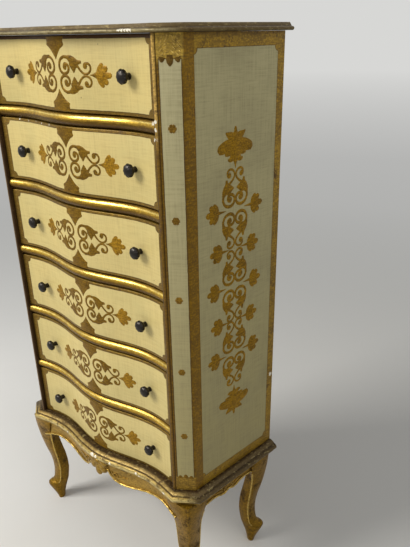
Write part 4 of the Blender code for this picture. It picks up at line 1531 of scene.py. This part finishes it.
class CHEST_OT_posts(bpy.types.Operator):
    """Models the canted corner posts, their caps and their rosettes"""

    bl_idname = "chest.posts"
    bl_label = "Corner posts"

    quirk = 0.9 * MM
    end_margin = 1.2 * MM
    arris = 1.5 * MM

    def execute(self, context):
        low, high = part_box("right_pilaster")
        outline = self.outline()
        levels = (low.z, low.z + self.end_margin, high.z - self.end_margin, high.z)
        rings = [[(x, STILE_Y + y, z) for x, y in outline] for z in levels]
        post = add_sections("post_blank", rings)
        smooth(post, 30)
        trim = self.on_cant(self.flowers(), "trim_blank")
        sprays = self.on_cant(self.sprays(), "spray_blank")
        for side, sign in SIDES:
            for blank, kind, finish, slot, nodes in (
                (post, "post", "post_face", "celadon_paint", [side + "_pilaster"]),
                (trim, "post_trim", "post_trim_gilding", "worn_gilding", []),
                (sprays, "post_sprays", "bright_gilding", "worn_gilding", []),
            ):
                name = "%s_%s" % (side, kind)
                place_copy(blank, name, mirrored(sign), finish, "case", slot, *nodes)
        discard(post, trim, sprays)
        return {"FINISHED"}

    def outline(self):
        """The plan of the right post: a beaded stile, a quirk, the canted face and a return."""
        steps = 18
        quirk = self.quirk
        points = []
        for i in range(steps + 1):
            turn = math.pi * i / steps
            across = OPENING_HALF + (STILE_BEAD_WIDTH - quirk) * (1 - math.cos(turn)) / 2
            points.append((across, -STILE_BEAD_PROUD * math.sin(turn) + quirk * i / steps))
        run, rise = CANT_WIDTH / CANT_LENGTH, CANT_DEPTH / CANT_LENGTH
        points.append((STILE_OUTER + quirk * run, quirk * rise))
        last = CANT_LENGTH - self.arris
        points.append((STILE_OUTER + last * run, last * rise))
        points.append((CASE_HALF - 0.2 * self.arris, CANT_DEPTH + 0.27 * self.arris))
        points.append((CASE_HALF, CANT_DEPTH + 1.2 * self.arris))
        return points + [
            (CASE_HALF, CANT_DEPTH + POST_RETURN),
            (CASE_HALF - PANEL_THICKNESS, CANT_DEPTH + POST_RETURN),
            (OPENING_HALF, POST_DEPTH),
        ]

    def flowers(self):
        """Rosettes, the scallops above the base cap and the pendant below the top cap."""
        top = (CASE_HEIGHT / 2 - POST_TOP_CAP) / MM
        foot = (POST_BASE_CAP - CASE_HEIGHT / 2) / MM
        strokes = []
        for share in ROSETTE_SHARES:
            strokes += rosette((BASE_TOP + share * CASE_HEIGHT - CASE_MIDDLE) / MM)
        for across, lift in ((-13, 0), (0, 3), (13, 0)):
            crest = foot + lift
            strokes.append([(across, foot - 3, 5.4), (across, crest, 5.2), (across, crest + 4, 2.2)])
        strokes.append([(0, top + 6, 5), (0, top - 1, 6.5), (0, top - 6, 5.5), (0, top - 11, 1.8)])
        for turn in (-1, 1):
            strokes.append([(13 * turn, top + 3, 6), (14 * turn, top - 1, 5), (15 * turn, top - 5, 2)])
        return strokes

    def sprays(self):
        """Two plumes of short slanting leaves on the top cap."""
        top = (CASE_HEIGHT / 2 - POST_TOP_CAP) / MM
        strokes = []
        for turn in (-1, 1):
            for row, (start, lift) in enumerate(((17, 7), (19, 13), (19, 19), (18, 25), (16, 31))):
                for k in range(2):
                    inner = start - 8.5 * k
                    rise = top + lift + 3.5 * k
                    reach = 7.5 - 0.6 * row
                    strokes.append(
                        [
                            (turn * inner, rise - 3, 0.5),
                            (turn * (inner - 0.45 * reach), rise - 0.5, 1.3),
                            (turn * (inner - reach), rise + 3.5, 0.6),
                        ]
                    )
        return strokes

    def on_cant(self, strokes, name):
        """Presses strokes onto the canted face of the right post."""
        placed = laid(strokes, (0.0, CASE_MIDDLE))
        trim = add_strokes(name, placed, sizes().relief)
        smooth(trim, 60)
        turn = Matrix.Rotation(math.atan2(CANT_DEPTH, CANT_WIDTH), 4, "Z")
        middle = (STILE_OUTER + CANT_WIDTH / 2, STILE_Y + CANT_DEPTH / 2, 0)
        return moved(trim, Matrix.Translation(middle) @ turn)


class CHEST_OT_drawer_fronts(bpy.types.Operator):
    """Models the six serpentine drawer fronts"""

    bl_idname = "chest.drawer_fronts"
    bl_label = "Drawer fronts"

    def execute(self, context):
        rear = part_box("drawer_6_front")[1].y
        front = add_front_bar(
            "front_blank", "drawer_6_front", FRONT_SETBACK, rear, DRAWER_EDGE_ROUNDING, 3
        )
        for number in DRAWERS:
            body = "drawer_%d" % number
            lift = Matrix.Translation((0, 0, DRAWER_FLOORS[number] - DRAWER_FLOORS[6]))
            name = body + "_painted_front"
            place_copy(front, name, lift, "drawer_face", body, "cream_paint", body + "_front")
        discard(front)
        return {"FINISHED"}


class CHEST_OT_drawer_ornament(bpy.types.Operator):
    """Draws the gilt scroll group on each drawer front"""

    bl_idname = "chest.drawer_ornament"
    bl_label = "Drawer ornament"

    scroll_weight = 1.42
    palmette_weight = 1.4

    def execute(self, context):
        scrolls = both_rises(both_sides(SCROLL_QUARTER)) + both_rises(cartouche())
        placed = laid(scrolls, weight=self.scroll_weight)
        placed += laid(both_sides(drawer_palmette()), weight=self.palmette_weight)
        group = add_strokes("scroll_group", placed, sizes().relief)
        limit = OPENING_HEIGHT / 2 - DRAWER_GAP - DRAWER_EDGE_ROUNDING
        for vert in group.data.vertices:
            vert.co.z = max(-limit, min(limit, vert.co.z))
        follow_front(group, FRONT_SETBACK)
        smooth(group, 60)
        for number in DRAWERS:
            body = "drawer_%d" % number
            middle = Matrix.Translation((0, 0, DRAWER_FLOORS[number] + OPENING_HEIGHT / 2))
            name = body + "_scrolls"
            place_copy(group, name, middle, "ornament_gilding", body, "worn_gilding")
        discard(group)
        return {"FINISHED"}


class CHEST_OT_knobs(bpy.types.Operator):
    """Turns the twelve knobs, each in one piece with the screw that holds it"""

    bl_idname = "chest.knobs"
    bl_label = "Knobs"

    turn_each = 0.7

    def execute(self, context):
        low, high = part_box("drawer_1_left_knob")
        seat = low.y + KNOB_LENGTH
        screw = (high.y - seat) / MM
        head = SCREW_HEAD_THICKNESS / MM
        rows = [(0.8, -screw), (4.5, -screw), (4.5, head - screw), (2.5, head - screw), (2.5, -0.1)]
        rows += eased(KNOB_PROFILE, 2)
        rings = [self.ring(radius, rise) for radius, rise in rows]
        knob = add_sections("knob_blank", rings)
        smooth(knob, 50)
        for number in DRAWERS:
            body = "drawer_%d" % number
            level = DRAWER_FLOORS[number] + OPENING_HEIGHT / 2
            for side, sign in SIDES:
                node = "%s_%s_knob" % (body, side)
                turn = Matrix.Rotation(self.turn_each * number + sign, 4, "Y")
                place = Matrix.Translation((sign * FLANK_PLACE, seat, level)) @ turn
                place_copy(knob, "turned_" + node, place, "dark_bronze", body, "dark_bronze", node)
        discard(knob)
        return {"FINISHED"}

    def ring(self, radius, rise):
        """A round section, waved into petals where it belongs to the head."""
        sides = 54
        depth = 0.0
        if rise > 10:
            depth = 0.10 * math.sin(math.pi * min((rise - 10) / 15.5, 1.0))
        points = []
        for i in range(sides):
            turn = 2 * math.pi * i / sides
            reach = radius * (1 - depth * (1 - abs(math.cos(sizes().knob_petals * turn / 2)))) * MM
            points.append((reach * math.cos(turn), -rise * MM, reach * math.sin(turn)))
        return points


class CHEST_OT_rails(bpy.types.Operator):
    """Models the half-round gilt rails between the drawers"""

    bl_idname = "chest.rails"
    bl_label = "Divider rails"

    def execute(self, context):
        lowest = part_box("divider_rail_5")[0].z
        rail = add_front_bar(
            "rail_blank", "divider_rail_5", 0.0, STILE_Y + RAIL_REACH, RAIL_NOSE, 10
        )
        for number in RAILS:
            node = "divider_rail_%d" % number
            lift = Matrix.Translation((0, 0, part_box(node)[0].z - lowest))
            name = "rail_%d" % number
            place_copy(rail, name, lift, "rail_gilding", "case", "worn_gilding", node)
        discard(rail)
        return {"FINISHED"}


class CHEST_OT_side_ornament(bpy.types.Operator):
    """Draws the gilt column of scrolls on each side panel"""

    bl_idname = "chest.side_ornament"
    bl_label = "Side ornament"

    # Heights of the three scroll groups from the middle of the case, and how far past the
    # outer two the tips of the end leaves lie
    scroll_rises = (162 * MM, -3.5 * MM, -165 * MM)
    upper_leaf_reach = 80 * MM
    lower_leaf_reach = 85 * MM
    centre_behind_stile = 164 * MM
    weight = 1.5

    def execute(self, context):
        centre = STILE_Y + self.centre_behind_stile
        levels = [CASE_MIDDLE + rise for rise in self.scroll_rises]
        quarters = both_rises(both_sides(SCROLL_QUARTER))
        strokes = []
        for level in levels:
            strokes += laid(quarters, (0, level), self.weight, (0, 0.89), (1.18, 0))
            fans = both_sides(side_palmette(28, 87.5, 39))
            strokes += laid(fans, (0, level), self.weight)
        for low, high in zip(levels[1:], levels):
            fans = both_sides(side_palmette(18, 77.5, 37))
            strokes += laid(fans, (0, (low + high) / 2), self.weight)
        leaf = winged_leaf()
        strokes += laid(leaf, (0, levels[0] + self.upper_leaf_reach))
        strokes += laid(leaf, (0, levels[-1] - self.lower_leaf_reach), up_to=(0, -1))
        group = add_strokes("side_group", strokes, sizes().relief)
        smooth(group, 60)
        for side, sign in SIDES:
            turn = Matrix.Rotation(math.pi / 2 * sign, 4, "Z")
            place = Matrix.Translation((CASE_HALF * sign, centre, 0)) @ turn
            name = side + "_side_scrolls"
            place_copy(group, name, place, "side_ornament_gilding", "case", "worn_gilding")
        discard(group)
        return {"FINISHED"}


def apron_section(bottom, face):
    """Depth and height around an apron: a hollow face, a bead along its foot, and its rear."""
    bead = sizes().edge_bead
    foot = bottom + 2 * bead
    rear = face + APRON_THICKNESS
    points = [(face, LEG_TOP)]
    for share in (0.15, 0.35, 0.55, 0.75, 0.92):
        hollow = APRON_HOLLOW * math.sin(math.pi * share / 2)
        points.append((face + hollow, LEG_TOP + (foot - LEG_TOP) * share))
    for i in range(9):
        turn = math.pi * (0.42 + 1.12 * i / 8)
        depth = face + 0.5 * bead + bead * math.cos(turn)
        points.append((depth, bottom + bead + bead * math.sin(turn)))
    return points + [(rear - MM, bottom + 0.5 * bead), (rear, bottom + bead), (rear, LEG_TOP)]


class CHEST_OT_aprons(bpy.types.Operator):
    """Carves the front and side aprons, with their beads and curls"""

    bl_idname = "chest.aprons"
    bl_label = "Aprons"

    # How far the curls stand proud, and how deep their ground lies in the apron
    front_relief = 2.4 * MM
    front_sink = 1.8 * MM
    side_relief = 2.0 * MM
    side_sink = 1.6 * MM

    def execute(self, context):
        self.front()
        self.sides()
        return {"FINISHED"}

    def front(self):
        half = CASE_HALF - ANKLE_SIDE_INSET - APRON_STOP
        rings = []
        for x in stations(half, 180):
            face, bottom = self.front_line(x, half)
            rings.append([(x, y, z) for y, z in apron_section(bottom, face)])
        apron = add_sections("carved_front_apron", rings)
        drawn = both_sides(
            [
                spiral((60, -31), 11, 2.6, 3.1, -1.35, 2.0, 3.4),
                [(62, -40, 2.2), (72, -34, 3.4), (84, -29, 2.6), (98, -27, 0.5)],
                [(46, -22, 2.4), (50, -30, 2.6), (57, -39, 2.2)],
            ]
        )
        curls = add_strokes("apron_curls", laid(drawn, (0, LEG_TOP)), self.front_relief)
        follow_front(curls, self.front_sink - FRONT_APRON_PROUD)
        apron = joined([apron, curls], "carved_front_apron")
        smooth(apron, 40)
        finish_piece(apron, "carved_gilding", "case", "worn_gilding", "front_apron")
        lines = []
        for sign in (-1, 1):
            line = []
            for i in range(61):
                x = half * (0.13 + 0.87 * i / 60)
                face, bottom = self.front_line(x, half)
                line.append((sign * x, face, bottom + APRON_BEAD_RISE, APRON_BEAD_RADIUS))
            lines.append(line)
        bead = add_beads("front_apron_bead", lines)
        finish_piece(bead, "bright_gilding", "case", "worn_gilding")

    def front_line(self, x, half):
        """Depth of the front apron's face, and height of its lower edge."""
        drop = FRONT_APRON_DROP * read_shares(FRONT_APRON_SHARES, abs(x) / half)
        return STILE_Y + serpentine(x) - FRONT_APRON_PROUD, LEG_TOP - drop

    def sides(self):
        start = STILE_Y + FRONT_ANKLE_INSET + APRON_STOP
        end = CASE_REAR - REAR_ANKLE_INSET - APRON_STOP
        outer = CASE_HALF - SIDE_APRON_INSET
        rings = []
        for y, bottom in self.side_line(start, end, 90):
            rings.append([(-x, y, z) for x, z in apron_section(bottom, -outer)])
        apron = add_sections("side_apron_blank", rings)
        line = []
        for y, bottom in self.side_line(start, end, 72):
            line.append((outer, y, bottom + APRON_BEAD_RISE, APRON_BEAD_RADIUS))
        bead = add_beads("side_bead_blank", [line])
        drawn = both_sides(
            [
                spiral((14, -30), 8, 2.0, 3.4, -1.2, 1.7, 2.8),
                [(0, -20, 2.2), (7, -23, 2.4), (18, -37, 1.8)],
                [(22, -33, 2.0), (34, -28, 3.0), (48, -27, 0.5)],
            ]
        )
        curls = add_strokes("side_curls", laid(drawn, (0, LEG_TOP)), self.side_relief)
        moved(curls, Matrix.Rotation(math.pi / 2, 4, "Z"))
        moved(curls, Matrix.Translation((outer - self.side_sink, (start + end) / 2, 0)))
        apron = joined([apron, curls], "side_apron_blank")
        smooth(apron, 40)
        for side, sign in SIDES:
            mirror = mirrored(sign)
            node = side + "_apron"
            name = side + "_carved_apron"
            place_copy(apron, name, mirror, "carved_gilding", "case", "worn_gilding", node)
            place_copy(bead, node + "_bead", mirror, "bright_gilding", "case", "worn_gilding")
        discard(apron, bead)

    def side_line(self, start, end, steps):
        """Places along a side apron, each with the height of its lower edge."""
        line = []
        for i in range(steps + 1):
            share = i / steps
            drop = SIDE_APRON_DROP * read_shares(SIDE_APRON_SHARES, min(share, 1 - share))
            line.append((start + (end - start) * share, LEG_TOP - drop))
        return line


class CHEST_OT_shell(bpy.types.Operator):
    """Carves the shell in the middle of the front apron"""

    bl_idname = "chest.shell"
    bl_label = "Carved shell"

    flute_degrees = (-74, -37, 0, 37, 74)
    voxel = 0.75 * MM
    sink = 9.5 * MM
    rise = 4 * MM
    flattest = 1.5 * MM
    stretch_below = 1.08

    def execute(self, context):
        crown = STILE_Y - CENTRE_SWELL - FRONT_APRON_PROUD - SHELL_PROUD
        lobes = []
        for degrees in self.flute_degrees:
            lobes.append(self.lobe(math.radians(degrees)))
        lobes.append(self.ball("boss", (0, -MM, -8 * MM), (13 * MM, 8.5 * MM, 8 * MM)))
        lobes.append(self.ball("ground", (0, 5.5 * MM, -21 * MM), (33 * MM, 8 * MM, 26 * MM)))
        shell = joined(lobes, "carved_shell")
        remesh = shell.modifiers.new("carve", "REMESH")
        remesh.mode = "VOXEL"
        remesh.voxel_size = self.voxel
        soften = shell.modifiers.new("soften", "SMOOTH")
        soften.iterations = 1
        apply_modifiers(shell)
        moved(shell, Matrix.Translation((0, crown + self.sink, LEG_TOP + self.rise)))
        for vert in shell.data.vertices:
            if vert.co.z < LEG_TOP:
                vert.co.z = LEG_TOP + (vert.co.z - LEG_TOP) * self.stretch_below
            vert.co.y = max(vert.co.y, crown - self.flattest)
        smooth(shell, 60)
        finish_piece(shell, "shell_gilding", "case", "worn_gilding")
        return {"FINISHED"}

    def ball(self, name, place, radii):
        deselect()
        bpy.ops.mesh.primitive_uv_sphere_add(
            segments=20, ring_count=14, radius=1, location=place, scale=radii
        )
        return take(name)

    def lobe(self, turn):
        """One rounded flute that widens and swells away from the boss."""
        across, down = math.sin(turn), math.cos(turn)
        length = 1 / math.hypot(across / SHELL_HALF_WIDTH, down / SHELL_DROP)
        lobe = self.ball("lobe", (0, 0, -length / 2), (13.5 * MM, 9 * MM, length / 2))
        for vert in lobe.data.vertices:
            share = -vert.co.z / length
            vert.co.x *= 0.28 + 0.95 * share
            vert.co.y *= 0.65 + 0.35 * share
        return moved(lobe, Matrix.Rotation(-turn, 4, "Y"))


class CHEST_OT_legs(bpy.types.Operator):
    """Carves the four cabriole legs"""

    bl_idname = "chest.legs"
    bl_label = "Cabriole legs"

    def execute(self, context):
        across = CASE_HALF - ANKLE_SIDE_INSET
        front = STILE_Y + FRONT_ANKLE_INSET
        rear = CASE_REAR - REAR_ANKLE_INSET
        rows = eased(LEG_SHARES, 4)
        leg = add_sections("leg_blank", [self.ring(row) for row in rows])
        smooth(leg, 42)
        beads = add_beads("leg_beads", [self.bead(rows, 1), self.bead(rows, -1)])
        for side, sign in SIDES:
            for end, y, toward in (("front", front, -1), ("rear", rear, 1)):
                node = "%s_%s_leg" % (end, side)
                turn = Matrix.Diagonal((sign, -toward, 1, 1)) @ Matrix.Rotation(-math.pi / 4, 4, "Z")
                place = Matrix.Translation((sign * across, y, 0)) @ turn
                place_copy(leg, "carved_" + node, place, "leg_gilding", "case", "worn_gilding", node)
                place_copy(beads, node + "_beads", place, "bright_gilding", "case", "worn_gilding")
        discard(leg, beads)
        return {"FINISHED"}

    def ring(self, row, sides=40):
        """A section with a ridge at its front, its rear and both sides, outwards along X."""
        height, reach, depth, width, wide_place, keenness = row
        front = KNEE_REACH * reach
        rear = -ANKLE_DEPTH * depth
        widest = front + (rear - front) * wide_place
        half_width = ANKLE_HALF_WIDTH * width
        z = LEG_TOP * height
        points = []
        for i in range(sides):
            turn = 2 * math.pi * i / sides
            out, aside = math.cos(turn), math.sin(turn)
            end = front if out > 0 else rear
            x = widest + (end - widest) * abs(out) ** keenness
            points.append((x, math.copysign(half_width * abs(aside) ** keenness, aside), z))
        return points

    def bead(self, rows, side):
        """The bead that runs on from an apron down one side ridge, and fades at the ankle."""
        line = []
        for height, reach, depth, width, wide_place, _ in reversed(rows[::2]):
            if 0.2 < height < 0.87:
                front = KNEE_REACH * reach
                widest = front - (ANKLE_DEPTH * depth + front) * wide_place
                radius = sizes().edge_bead * (0.35 + 0.55 * min((height - 0.12) / 0.3, 1.0))
                aside = ANKLE_HALF_WIDTH * width - 0.45 * radius
                line.append((widest, side * aside, LEG_TOP * height, radius))
        return line


class CHEST_PT_finish(bpy.types.Panel):
    """Lists the steps that finish the chest"""

    bl_idname = "CHEST_PT_finish"
    bl_label = "Chest"
    bl_space_type = "VIEW_3D"
    bl_region_type = "UI"
    bl_category = "Chest"

    def draw(self, context):
        for group in (context.scene.chest_sizes, context.scene.chest_colours):
            for name in group.__annotations__:
                self.layout.prop(group, name)
        for step in STEPS:
            self.layout.operator(step.bl_idname)


STEPS = (
    CHEST_OT_stage,
    CHEST_OT_finishes,
    CHEST_OT_boards,
    CHEST_OT_posts,
    CHEST_OT_drawer_fronts,
    CHEST_OT_drawer_ornament,
    CHEST_OT_knobs,
    CHEST_OT_rails,
    CHEST_OT_side_ornament,
    CHEST_OT_aprons,
    CHEST_OT_shell,
    CHEST_OT_legs,
)


def register():
    for kind in (ChestSizes, ChestColours) + STEPS + (CHEST_PT_finish,):
        bpy.utils.register_class(kind)
    bpy.types.Scene.chest_sizes = bpy.props.PointerProperty(type=ChestSizes)
    bpy.types.Scene.chest_colours = bpy.props.PointerProperty(type=ChestColours)


def unregister():
    del bpy.types.Scene.chest_sizes
    del bpy.types.Scene.chest_colours
    for kind in (CHEST_PT_finish,) + STEPS[::-1] + (ChestColours, ChestSizes):
        bpy.utils.unregister_class(kind)


def main():
    register()
    for step in STEPS:
        area, name = step.bl_idname.split(".")
        getattr(getattr(bpy.ops, area), name)()


if __name__ == "__main__":
    main()
